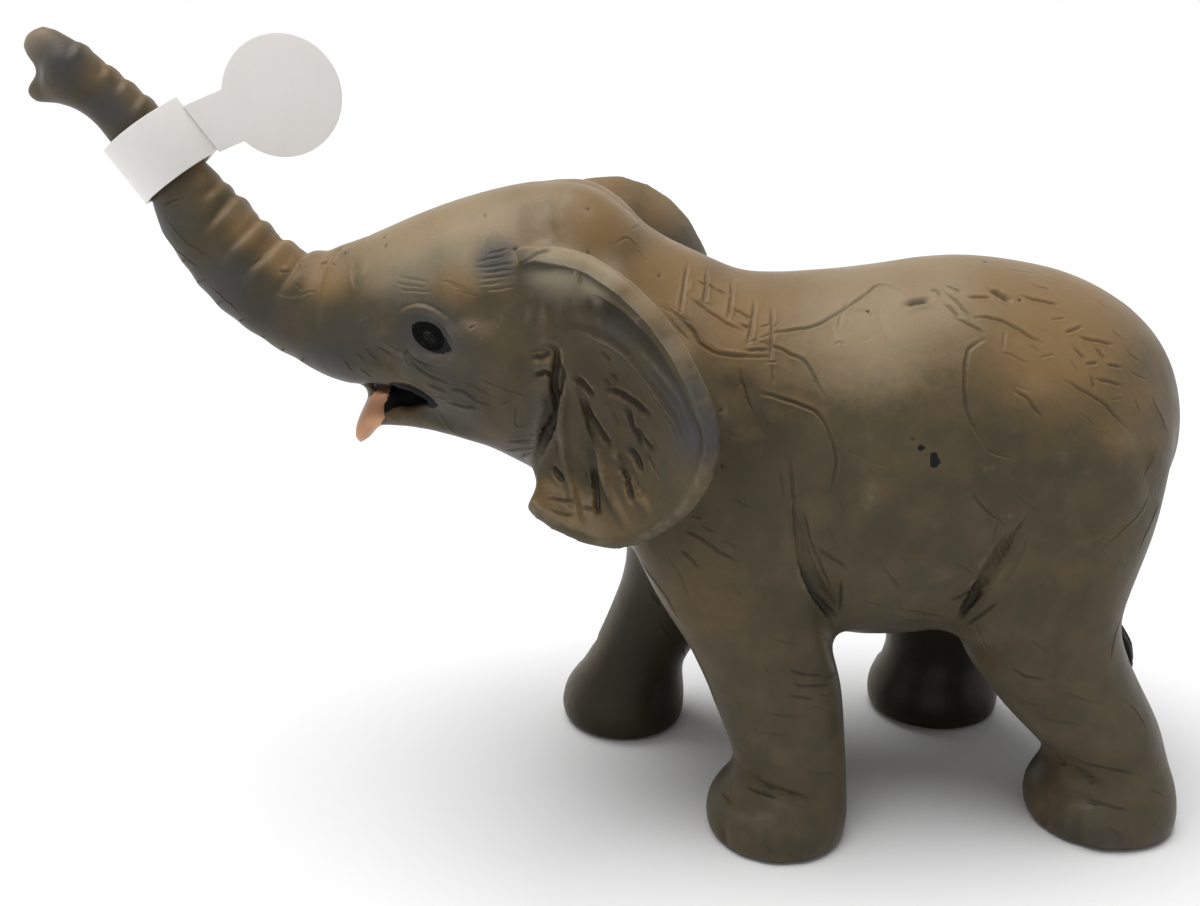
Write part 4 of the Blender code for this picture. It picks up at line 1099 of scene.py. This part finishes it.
def inked(places, spots, facing, far, on_face, on_jaw):
    """Where the black of eyes, mouth and dark spots lies, and the salmon of the lip."""
    along, _, height = places.T
    beside = np.abs((places - HEAD_MIRROR[0]) @ HEAD_MIRROR[1])
    seen = facing > TOWARDS_CAMERA
    black = in_outline(spots, EYE_SOCKET) & seen & on_face
    black |= in_outline(spots, MOUTH_BLACK) & on_face & (height < MOUTH_TOP)
    black |= on_face & (beside < MOUTH_HALF) & within(along, *MOUTH_ALONG) & within(height, *MOUTH_HIGH)
    salmon = in_outline(spots, LIP) & on_jaw
    black &= ~salmon
    for *spot, radius in DARK_SPOTS:
        black |= (np.hypot(*(spots - spot).T) < radius) & seen & ~far
    return black, salmon


def skin_tree(skin):
    """A tree of the skin's faces, in mm, for casting onto it."""
    faces = [list(face.vertices) for face in skin.data.polygons]
    return BVHTree.FromPolygons([Vector(place) for place in places_of(skin)], faces)


def patched(spots, patches):
    """The strength of soft round patches at each spot of the picture."""
    strength = np.zeros(len(spots))
    for across, down, radius, share in patches:
        gap = np.hypot(spots[:, 0] - across, spots[:, 1] - down) / radius
        strength = np.maximum(strength, share * hump(gap / PATCH_REACH))
    return strength


def painted(skin, wash_and_shade):
    """Work out where each paint lies, and store it on the skin."""
    places = places_of(skin)
    ways = ways_of(skin)
    pairs = pairs_of(skin)
    owner = owners(places)
    on_head = ((beyond(places, NECK_SEAM) > 0) | owned(owner, EARS)) & ~owned(owner, LEGS)
    spots, facing, far = near_side(places, ways, on_head)
    height = places[:, 2]

    upward = eased(ways[:, 2], *UPWARD)
    sideways = eased(facing, *SIDEWAYS)
    brushed = np.maximum(sideways, upward)
    brown = patched(spots, BROWN_PATCHES) * at_least(AWAY_BROWN, brushed)
    # Brown on all that faces up, high on the back: brown paint, and partly painted light from above
    brown = np.maximum(brown, LIT_TOP_BROWN * upward * eased(height, *BACK_HEIGHT))
    slate = patched(spots, SLATE_PATCHES) * sideways * (on_head | (height < FEET_HEIGHT))
    # Slate on all that faces down is painted shade on the undersides
    slate = np.maximum(slate, UNDERSIDE_SHADE_SLATE * eased(-ways[:, 2], *DOWNWARD))
    # Pale paint, and painted highlight on the tops
    pale = patched(spots, PALE_AND_HIGHLIGHT_PATCHES) * brushed

    # The crease value darkens with the wash colour: wash in the creases, and painted shade in wide hollows,
    # in the patches of painted shade and on the legs' inner sides
    bare, ridge = by_relief(places, ways, pairs, wash_and_shade)
    painted_shade = patched(spots, PAINTED_SHADE_PATCHES) * sideways
    crease = np.maximum(1 - bare * (1 - PAINTED_SHADE_SHARE * painted_shade), between_legs(places, ways))
    ridge *= (1 - SLATE_OVER_RUB * slate) * at_least(LOW_RUB, eased(height, *RUB_HEIGHT))

    on_face = on_head & (places[:, 0] < FACE_X)
    ink = inked(places, spots, facing, far, on_face, owned(owner, ("lower_jaw",)))
    black, salmon = relaxed(np.stack(ink, axis=1).astype(float), pairs, 1).T
    none = np.zeros(len(places))
    for name, values in zip(CHANNELS, ((crease, ridge, pale), (brown, slate, none), (black, salmon, none))):
        set_channels(skin, name, *values)


def thinned(skin, wash_and_shade, faces):
    """Thin out the faces where the skin is plain, and keep them at wrinkles and edges of paint."""
    paint = channel_rows(skin.data.attributes["paint"])[:, :2]
    edges = relaxed(paint, pairs_of(skin), EDGE_ROUNDS)
    busy = (wash_and_shade > BUSY_WASH) | within(edges, BUSY_PAINT, 1 - BUSY_PAINT).any(axis=1)
    group = skin.vertex_groups.new(name="plain")
    group.add(np.flatnonzero(~busy).tolist(), 1.0, "REPLACE")
    now = sum(len(face.vertices) - 2 for face in skin.data.polygons)
    change(skin, "DECIMATE", ratio=min(faces / now, 1.0), vertex_group="plain")
    skin.vertex_groups.clear()
    skin.data.shade_smooth()


def region_of(face, owner):
    """Which piece a face belongs to."""
    place = np.array(face.calc_center_median()) / MM
    node = HIDE[owner]
    if node in EARS or node == "lower_jaw":
        return "head"
    if beyond(place, TRUNK_SEAM) > 0 and node in ("trunk", "head"):
        return "trunk"
    if beyond(place, NECK_SEAM) > 0 and place[2] > LEG_SEAM[0][2] + HEAD_OVER_LEGS:
        return "head"
    if place[2] < LEG_SEAM[0][2]:
        return LEGS[2 * int(place[0] > MIDDLE_X) + int(place[1] > BODY_MIRROR[0][1])]
    return "torso"


def parted(skin):
    """The skin as one closed piece for each moulding, with the shading of the whole."""
    shape = bmesh.new()
    shape.from_mesh(skin.data)
    for point, way in (TRUNK_SEAM, NECK_SEAM, LEG_SEAM):
        geometry = shape.verts[:] + shape.edges[:] + shape.faces[:]
        bmesh.ops.bisect_plane(shape, geom=geometry, dist=0.01 * MM, plane_co=Vector(point) * MM,
                               plane_no=Vector(way))
    bmesh.ops.triangulate(shape, faces=[face for face in shape.faces if len(face.verts) > 4])
    shape.normal_update()
    shape.to_mesh(skin.data)
    owner = owners(np.array([face.calc_center_median() for face in shape.faces]) / MM)
    regions = [region_of(face, owner[index]) for index, face in enumerate(shape.faces)]
    shape.free()

    ways = ways_of(skin)
    places = places_of(skin) * MM
    corners = [tuple(face.vertices) for face in skin.data.polygons]
    layers = {layer.name: channel_rows(layer) for layer in skin.data.attributes if layer.name in CHANNELS}
    pieces = {}
    for region in REGIONS:
        faces = [face for face, home in zip(corners, regions) if home == region]
        pieces[region] = one_piece(region, faces, places, ways, layers)
    return pieces


def channel_rows(layer):
    """The stored values of one attribute, one row a point."""
    rows = np.zeros(len(layer.data) * 4)
    layer.data.foreach_get("color", rows)
    return rows.reshape(-1, 4)


def one_piece(region, faces, places, ways, layers):
    """A closed piece from some faces of the skin, with flat caps over its holes."""
    numbers = np.unique(np.concatenate([np.array(face) for face in faces]))
    order = np.full(len(places), -1)
    order[numbers] = np.arange(len(numbers))
    mesh = bpy.data.meshes.new("hide_" + region)
    renumbered = [[int(order[corner]) for corner in face] for face in faces]
    mesh.from_pydata(places[numbers].tolist(), [], renumbered)
    mesh.shade_smooth()
    piece = bpy.data.objects.new("hide_" + region, mesh)
    bpy.context.scene.collection.objects.link(piece)
    shape = bmesh.new()
    shape.from_mesh(mesh)
    rim = [edge for edge in shape.edges if edge.is_boundary]
    at_rim = {vert.index for edge in rim for vert in edge.verts}
    caps = bmesh.ops.holes_fill(shape, edges=rim, sides=0)["faces"]
    for face in caps:
        face.smooth = False
    bmesh.ops.triangulate(shape, faces=caps)
    shape.to_mesh(mesh)
    shape.free()
    mesh.normals_split_custom_set_from_vertices(
        [tuple(ways[number]) if index in at_rim else (0, 0, 0) for index, number in enumerate(numbers)])
    for name, rows in layers.items():
        set_channels(piece, name, *rows[numbers, :3].T)
    return piece


class CALF_OT_hide(bpy.types.Operator):
    """Sculpt and paint the animal, one closed piece for each moulding"""
    bl_idname = "calf.hide"
    bl_label = "Hide"

    def execute(self, context):
        settings = context.scene.calf_hide
        skin = melted(settings)
        smoothed(skin, settings)
        tree = skin_tree(skin)
        marks = all_marks(tree, settings.relief)
        # The broad marks' darkening is painted shade in their hollows
        keep(skin, "shade", pressed(skin, [mark for mark in marks if mark.broad]))
        marks = [mark for mark in marks if not mark.broad]
        resettled(marks, skin_tree(skin))
        refined(skin, marks)
        wash_and_shade = np.maximum(pressed(skin, marks), kept(skin, "shade"))
        pairs = pairs_of(skin)
        put_places(skin, relaxed(places_of(skin), pairs, LAST_ROUNDS, LAST_SHARE))
        wash_and_shade = relaxed(wash_and_shade[:, None], pairs, LAST_ROUNDS)[:, 0]
        wash_and_shade = np.maximum(wash_and_shade, pitted(skin, skin_tree(skin)))
        skin.data.shade_smooth()
        painted(skin, wash_and_shade)
        thinned(skin, wash_and_shade, settings.faces)
        pieces = parted(skin)
        bpy.data.objects.remove(skin)
        material = hide_paint(settings)
        for region, piece in pieces.items():
            piece.data.materials.clear()
            piece.data.materials.append(material)
            nodes = HEAD_NODES if region == "head" else (region,)
            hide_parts(*nodes)
            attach(piece, "figure")
        return {"FINISHED"}


# Eyes

def eye_turn(out, along):
    """The turn that lays a ball's length along the eye and its thickness out of the head."""
    along = (along - along.dot(out) * out).normalized()
    return Matrix((along, out.cross(along), out)).transposed().to_4x4()


def new_ball(name, material, spot, turn, halves):
    """A smooth ball at a spot in mm, turned, with half its three sizes in mm."""
    deselect()
    bpy.ops.mesh.primitive_uv_sphere_add(segments=BALL_ROUND, ring_count=BALL_ALONG, radius=1)
    ball = bpy.context.active_object
    ball.name = name
    shape = turn @ Matrix.Diagonal((*halves, 1))
    ball.data.transform(Matrix.Scale(MM, 4) @ Matrix.Translation(spot) @ shape)
    ball.data.shade_smooth()
    ball.data.materials.append(material)
    return ball


class CALF_OT_eyes(bpy.types.Operator):
    """Set a black rim and a glossy dome in each eye socket"""
    bl_idname = "calf.eyes"
    bl_label = "Eyes"

    def execute(self, context):
        settings = context.scene.calf_eye
        tree = skin_tree(bpy.data.objects["hide_head"])
        place, way = cast(np.array((EYE_DOME,)), tree)
        tail, _ = cast(np.array((EYE_TAIL,)), tree)
        black = eye_paint("eye black", *EYE_BLACK)
        gloss = eye_paint("eye gloss", *EYE_GLOSS)
        balls = (("eye_rim_", black, settings.rim, settings.rim_proud, settings.rim_flat),
                 ("eye_", gloss, settings.size, settings.proud, settings.flat))
        turned = (0, HEAD_MIRROR[1])
        sides = {
            "left": (place, way, tail - place),
            "right": (mirrored(place, HEAD_MIRROR), mirrored(way, turned), mirrored(tail - place, turned)),
        }
        for side, rows in sides.items():
            centre, out, along = [Vector(row[0]) for row in rows]
            out.normalize()
            turn = eye_turn(out, along)
            for name, material, size, proud, flat in balls:
                half = size / MM / 2
                halves = (half, half * settings.narrow, half * flat)
                spot = centre + out * (proud / MM - halves[2])
                eye = new_ball(name + side, material, spot, turn, halves)
                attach(eye, "figure")
        return {"FINISHED"}


# Tail

def strands_of(turn, height):
    """The tuft's strands by the turn round the tail and the height in mm: high on each strand."""
    return np.sin(turn * 7 + 0.9 * np.sin(height * 1.3)) + 0.5 * np.sin(turn * 13 + height * 0.9)


def rings_of(turn, height):
    """The faint rings of the bare tail."""
    return 0.3 * np.sin(height * 7.5) + 0.2 * np.sin(height * 17 + turn * 2)


class CALF_OT_tail(bpy.types.Operator):
    """Sculpt the tail, with strands in its tuft"""
    bl_idname = "calf.tail"
    bl_label = "Tail"

    def execute(self, context):
        settings = context.scene.calf_tail
        tail = copied("tail", "hide_tail")
        change(tail, "REMESH", mode="VOXEL", voxel_size=settings.grain)
        put_places(tail, relaxed(places_of(tail), pairs_of(tail), TAIL_ROUNDS, TAIL_SHARE))
        places = places_of(tail)
        ways = ways_of(tail)
        height = places[:, 2]
        low, high = height.min(), height.max()
        tuft = [low + share * (high - low) for share in TUFT_ENDS]
        hair = 1 - eased(height, *tuft)
        turn = np.arctan2(ways[:, 1], ways[:, 0])
        strands = strands_of(turn, height)
        rings = rings_of(turn, height)
        sink = settings.hair / MM * hair * (0.6 + 0.4 * strands) + TAIL_RINGS * (1 - hair) * rings
        put_places(tail, places - sink[:, None] * ways)
        # Darker in the grooves between the strands, and in the bare tail's rings
        wash_and_shade = eased(-strands, 0.1, 1.2) * hair + 0.4 * eased(-rings, 0.1, 0.4) * (1 - hair)
        none = np.zeros(len(places))
        set_channels(tail, "carving", wash_and_shade, eased(strands, 0.5, 1.4) * hair * 0.5, none)
        set_channels(tail, "coat", none + 0.6, none + 0.3, hair)
        set_channels(tail, "paint", none, none, hair)
        tail.data.shade_smooth()
        tail.data.materials.append(tail_paint(context.scene.calf_hide, settings))
        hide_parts("tail")
        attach(tail, "figure")
        return {"FINISHED"}


# Tag strip

def reached(flag, reach):
    """Draw the root of the flag up to the loop."""
    places = places_of(flag)
    along = places @ np.array(STRIP_WAY)
    share = 1 - eased(along - along.min(), *ROOT_SPAN)
    put_places(flag, places - reach * share[:, None] * np.array(STRIP_WAY))


class CALF_OT_tag(bpy.types.Operator):
    """Finish the tag's loop and flag, with softened edges"""
    bl_idname = "calf.tag"
    bl_label = "Tag strip"

    def execute(self, context):
        settings = context.scene.calf_tag
        material = tag_plastic(settings)
        for node, body in (("tag_band", "tag_loop"), ("tag_flag", "tag_end")):
            piece = copied(node, "strip_" + body)
            if node == "tag_flag":
                reached(piece, settings.reach / MM)
            change(piece, "BEVEL", width=settings.edge, segments=EDGE_STEPS, limit_method="ANGLE",
                   angle_limit=math.radians(EDGE_ANGLE))
            choose(piece)
            bpy.ops.object.shade_smooth_by_angle(angle=math.radians(SMOOTH_ANGLE))
            piece.data.materials.append(material)
            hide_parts(node)
            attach(piece, body)
        return {"FINISHED"}


# Materials

def new_material(name, **values):
    """A material with these plain values on its shader; an underscore stands for a space."""
    material = bpy.data.materials.new(name)
    material.use_nodes = True
    tree = material.node_tree
    shader = tree.nodes["Principled BSDF"]
    fill(tree, shader, **values)
    return material, tree, shader


def feed(tree, socket, value):
    """Put a link or a plain value into a socket."""
    if isinstance(value, bpy.types.NodeSocket):
        tree.links.new(value, socket)
    elif hasattr(value, "__len__"):
        socket.default_value = (*value, 1) if len(value) == 3 and len(socket.default_value) == 4 else value
    else:
        socket.default_value = value


def fill(tree, node, **values):
    """Put links or plain values into sockets by name; an underscore stands for a space."""
    for name, value in values.items():
        feed(tree, node.inputs[name.replace("_", " ")], value)


def blend(tree, factor, first, second):
    """Mix two colours by a factor."""
    node = tree.nodes.new("ShaderNodeMix")
    node.data_type = "RGBA"
    for socket, value in zip((node.inputs[0], node.inputs[6], node.inputs[7]), (factor, first, second)):
        feed(tree, socket, value)
    return node.outputs[2]


def coat(tree, base, mask, share, paint):
    """Lay a paint over a base where a mask says, up to a share."""
    return blend(tree, maths(tree, "MULTIPLY", mask, share), base, paint)


def maths(tree, operation, first, second=0.0, third=0.0):
    """One sum of numbers."""
    node = tree.nodes.new("ShaderNodeMath")
    node.operation = operation
    for socket, value in zip(node.inputs, (first, second, third)):
        feed(tree, socket, value)
    return node.outputs[0]


def span(tree, value, low, high):
    """Stretch a range of a value to 0 and 1, held at its ends."""
    node = tree.nodes.new("ShaderNodeMapRange")
    node.interpolation_type = "SMOOTHSTEP"
    fill(tree, node, Value=value, From_Min=low, From_Max=high)
    return node.outputs[0]


def noise(tree, place, scale, detail=3.0, rough=0.55, stretch=None):
    """Cloudy noise, with its scale in waves a metre."""
    if stretch is not None:
        mapping = tree.nodes.new("ShaderNodeMapping")
        fill(tree, mapping, Vector=place, Scale=stretch)
        place = mapping.outputs[0]
    node = tree.nodes.new("ShaderNodeTexNoise")
    fill(tree, node, Vector=place, Scale=scale, Detail=detail, Roughness=rough)
    return node.outputs[0]


def object_place(tree):
    """The object's own coordinates, in metres."""
    return tree.nodes.new("ShaderNodeTexCoord").outputs["Object"]


def channels(tree, name):
    """The three values stored on the piece under a name."""
    layer = tree.nodes.new("ShaderNodeAttribute")
    layer.attribute_name = name
    split = tree.nodes.new("ShaderNodeSeparateColor")
    tree.links.new(layer.outputs["Color"], split.inputs[0])
    return split.outputs[0], split.outputs[1], split.outputs[2]


def new_group(name, inputs, outputs):
    """An empty shader node group with named sockets."""
    group = bpy.data.node_groups.new(name, "ShaderNodeTree")
    for label, default in inputs:
        socket = group.interface.new_socket(name=label, in_out="INPUT", socket_type="NodeSocketFloat")
        socket.default_value = default
    for label in outputs:
        group.interface.new_socket(name=label, in_out="OUTPUT", socket_type="NodeSocketFloat")
    return group, group.nodes.new("NodeGroupInput"), group.nodes.new("NodeGroupOutput")


def plastic_grain():
    """Height and gloss of moulded and hand-painted plastic."""
    found = bpy.data.node_groups.get("plastic grain")
    if found:
        return found
    inputs = (("Fine", 3500.0), ("Waves", 420.0), ("Gloss Spread", 0.1))
    group, start, end = new_group("plastic grain", inputs, ("Height", "Roughness"))
    place = object_place(group)
    fine, waves = [noise(group, place, start.outputs[label], 3.0, 0.5) for label in ("Fine", "Waves")]
    height = maths(group, "MULTIPLY", maths(group, "MULTIPLY_ADD", waves, 2.5, fine), 0.3)
    offset = maths(group, "SUBTRACT", waves, 0.5)
    rough = maths(group, "MULTIPLY", offset, start.outputs["Gloss Spread"])
    fill(group, end, Height=height, Roughness=rough)
    return group


def brushed_on():
    """Where a dry brush leaves its paint: streaks and specks."""
    found = bpy.data.node_groups.get("dry brush")
    if found:
        return found
    group, start, end = new_group("dry brush", (("Amount", 0.5), ("Edge", 0.25)), ("Mask",))
    place = object_place(group)
    streaks = noise(group, place, 260.0, 4.0, 0.6, (1.0, 0.6, 3.2))
    specks = noise(group, place, 1500.0, 3.0, 0.6)
    mixed = maths(group, "MULTIPLY_ADD", streaks, 0.5, maths(group, "MULTIPLY", specks, 0.5))
    uneven = maths(group, "MULTIPLY", maths(group, "SUBTRACT", mixed, 0.5), start.outputs["Edge"])
    mask = span(group, maths(group, "ADD", start.outputs["Amount"], uneven), 0.05, 0.95)
    covered = span(group, start.outputs["Amount"], 0.0, 0.15)
    fill(group, end, Mask=maths(group, "MULTIPLY", mask, covered))
    return group


def use_group(tree, group, **values):
    """A node group in a tree, with these links or values on its inputs."""
    node = tree.nodes.new("ShaderNodeGroup")
    node.node_tree = group
    fill(tree, node, **values)
    return node


def bumped(tree, height, distance, strength=1.0):
    """A normal from a height, with its distance in metres."""
    node = tree.nodes.new("ShaderNodeBump")
    fill(tree, node, Strength=strength, Distance=distance, Height=height)
    return node.outputs[0]


def finish(tree, shader, base, rough, depth, strength=1.0, **grain):
    """Give a shader its colour, and the plastic's grain with its mean roughness and depth in metres."""
    surface = use_group(tree, plastic_grain(), **grain)
    rough = maths(tree, "ADD", surface.outputs["Roughness"], rough)
    normal = bumped(tree, surface.outputs["Height"], depth, strength)
    fill(tree, shader, Base_Color=base, Roughness=rough, Normal=normal)


def coats(tree, settings):
    """The hide's coats of paint up to its wash and painted shade."""
    crease, ridge, pale = channels(tree, "carving")
    brown, slate, _ = channels(tree, "coat")
    place = object_place(tree)
    clouds = span(tree, noise(tree, place, 110.0, 3.0), 0.3, 0.7)
    base = blend(tree, clouds, settings.olive, tuple(0.8 * value for value in settings.olive))
    tint = span(tree, noise(tree, place, 340.0, 4.0), 0.35, 0.75)
    base = coat(tree, base, tint, 0.16, settings.brown)
    for amount, edge, share, paint in ((pale, 0.4, 0.95, settings.pale), (brown, 0.4, 0.9, settings.brown),
                                       (slate, 0.5, 0.85, settings.slate)):
        mask = use_group(tree, brushed_on(), Amount=amount, Edge=edge).outputs["Mask"]
        base = coat(tree, base, mask, share, paint)
    specks = span(tree, noise(tree, place, 1300.0, 3.0), 0.38, 0.62)
    rubbed = maths(tree, "MULTIPLY", ridge, maths(tree, "MULTIPLY_ADD", specks, 0.5, 0.3))
    base = coat(tree, base, rubbed, 0.55, settings.rub)
    # The wash colour lays both the wash in the creases and the painted shade
    return coat(tree, base, span(tree, crease, 0.08, 0.95), 0.92, settings.wash_and_shade)


def hide_paint(settings):
    """The animal's paint: coats, the lip's salmon, and black on the eyes and mouth."""
    material, tree, shader = new_material("painted hide", Specular_IOR_Level=HIDE_SHINE)
    black, salmon, _ = channels(tree, "paint")
    base = coats(tree, settings)
    base = blend(tree, span(tree, salmon, *CRISP), base, settings.salmon)
    ink = span(tree, black, *CRISP)
    base = blend(tree, ink, base, settings.black)
    rough = maths(tree, "MULTIPLY_ADD", ink, 0.2, HIDE_ROUGH)
    finish(tree, shader, base, rough, 0.09 * MM, 0.8, Gloss_Spread=0.3)
    return material


def tail_paint(hide, settings):
    """The hide's paint, with a near-black tuft."""
    material, tree, shader = new_material("painted tail", Specular_IOR_Level=HIDE_SHINE)
    _, _, hair = channels(tree, "paint")
    base = blend(tree, hair, coats(tree, hide), settings.tuft)
    finish(tree, shader, base, TAIL_ROUGH, 0.06 * MM, Gloss_Spread=0.25)
    return material


def eye_paint(name, shine, rough):
    """Black paint, with how much it mirrors and how rough it is."""
    material, tree, shader = new_material(name, Specular_IOR_Level=shine)
    specks = span(tree, noise(tree, object_place(tree), 2500.0, 2.0), 0.45, 0.75)
    base = blend(tree, specks, (0.003, 0.003, 0.003), (0.012, 0.011, 0.01))
    finish(tree, shader, base, rough, 0.01 * MM, Gloss_Spread=0.1)
    return material


def tag_plastic(settings):
    """White plastic that lets a little light in."""
    material, tree, shader = new_material(
        "tag plastic", Subsurface_Weight=0.15, Subsurface_Radius=(0.6 * MM, 0.5 * MM, 0.4 * MM),
        Subsurface_Scale=1.0)
    clouds = span(tree, noise(tree, object_place(tree), 160.0, 3.0), 0.35, 0.7)
    warmer = tuple(value * share for value, share in zip(settings.plastic, (0.97, 0.93, 0.9)))
    base = coat(tree, settings.plastic, clouds, 0.6, warmer)
    finish(tree, shader, base, TAG_ROUGH, 0.05 * MM, Fine=2600.0, Waves=260.0, Gloss_Spread=0.2)
    return material


def floor_paint(settings):
    """Matt white, a little uneven."""
    material, tree, shader = new_material("floor", Roughness=0.85, Specular_IOR_Level=0.1)
    clouds = noise(tree, object_place(tree), 12.0, 2.0)
    darker = tuple(0.985 * value for value in settings.floor)
    fill(tree, shader, Base_Color=blend(tree, clouds, settings.floor, darker))
    return material


# Stage

def set_up(name, data, place, turn):
    """A lamp or camera at a place in metres."""
    body = bpy.data.objects.new(name, data)
    bpy.context.scene.collection.objects.link(body)
    body.location = place
    body.rotation_euler = turn.to_euler()
    return body


def lamp(name, kind, power, place, turn, **values):
    """A light of one kind, with its own values."""
    data = bpy.data.lights.new(name, kind)
    data.energy = power
    for label, value in values.items():
        setattr(data, label, value)
    set_up(name, data, place, turn)


def white_sky(scene, strength):
    """Plain light from all round, which the camera sees as white."""
    world = bpy.data.worlds.new("sky")
    scene.world = world
    world.use_nodes = True
    tree = world.node_tree
    backdrop = tree.nodes["Background"]
    fill(tree, backdrop, Color=(1, 1, 1))
    path = tree.nodes.new("ShaderNodeLightPath")
    straight = maths(tree, "MAXIMUM", path.outputs["Is Camera Ray"], path.outputs["Is Transmission Ray"])
    straight = maths(tree, "MAXIMUM", straight, path.outputs["Is Glossy Ray"])
    fill(tree, backdrop, Strength=maths(tree, "MULTIPLY_ADD", straight, 1 - strength, strength))


class CALF_OT_stage(bpy.types.Operator):
    """Lay the floor, hang the lamps and place the camera"""
    bl_idname = "calf.stage"
    bl_label = "Stage"

    def execute(self, context):
        settings = context.scene.calf_stage
        scene = context.scene
        deselect()
        bpy.ops.mesh.primitive_plane_add(size=settings.floor_size)
        floor = context.active_object
        floor.name = "floor"
        floor.data.materials.append(floor_paint(settings))
        white_sky(scene, settings.sky)
        lamp("day", "SUN", settings.key_power, (0, 0, 0), Vector(DAY_WAY).to_track_quat("Z", "Y"),
             angle=math.radians(settings.key_spread))
        to_figure = Vector(FILL_AIM) - Vector(FILL_PLACE)
        lamp("beside_camera", "AREA", settings.fill_power, FILL_PLACE, to_figure.to_track_quat("-Z", "Y"),
             size=FILL_SIZE)

        camera = bpy.data.cameras.new("camera")
        camera.sensor_width = SENSOR
        camera.lens = LENS
        camera.clip_start, camera.clip_end = CLIP
        turn = Vector(CAMERA_WAY).to_track_quat("-Z", "Y")
        scene.camera = set_up("camera", camera, CAMERA_PLACE * MM, turn)
        scene.view_settings.view_transform = "Standard"
        return {"FINISHED"}


class CALF_PT_panel(bpy.types.Panel):
    """Lists the steps in the order they are run"""
    bl_label = "Elephant calf"
    bl_idname = "CALF_PT_panel"
    bl_space_type = "VIEW_3D"
    bl_region_type = "UI"
    bl_category = "Calf"

    def draw(self, context):
        for step in STEPS:
            self.layout.operator(step)


STEPS = ("calf.hide", "calf.eyes", "calf.tail", "calf.tag", "calf.stage")
GROUPS = {"calf_hide": CalfHideSettings, "calf_eye": CalfEyeSettings, "calf_tail": CalfTailSettings,
          "calf_tag": CalfTagSettings, "calf_stage": CalfStageSettings}
OPERATORS = (CALF_OT_hide, CALF_OT_eyes, CALF_OT_tail, CALF_OT_tag, CALF_OT_stage)
CLASSES = (*GROUPS.values(), *OPERATORS, CALF_PT_panel)


def register():
    for kind in CLASSES:
        bpy.utils.register_class(kind)
    for name, group in GROUPS.items():
        setattr(bpy.types.Scene, name, PointerProperty(type=group))


def unregister():
    for name in GROUPS:
        delattr(bpy.types.Scene, name)
    for kind in reversed(CLASSES):
        bpy.utils.unregister_class(kind)


def main():
    register()
    for step in STEPS:
        area, name = step.split(".")
        getattr(getattr(bpy.ops, area), name)()


if __name__ == "__main__":
    main()
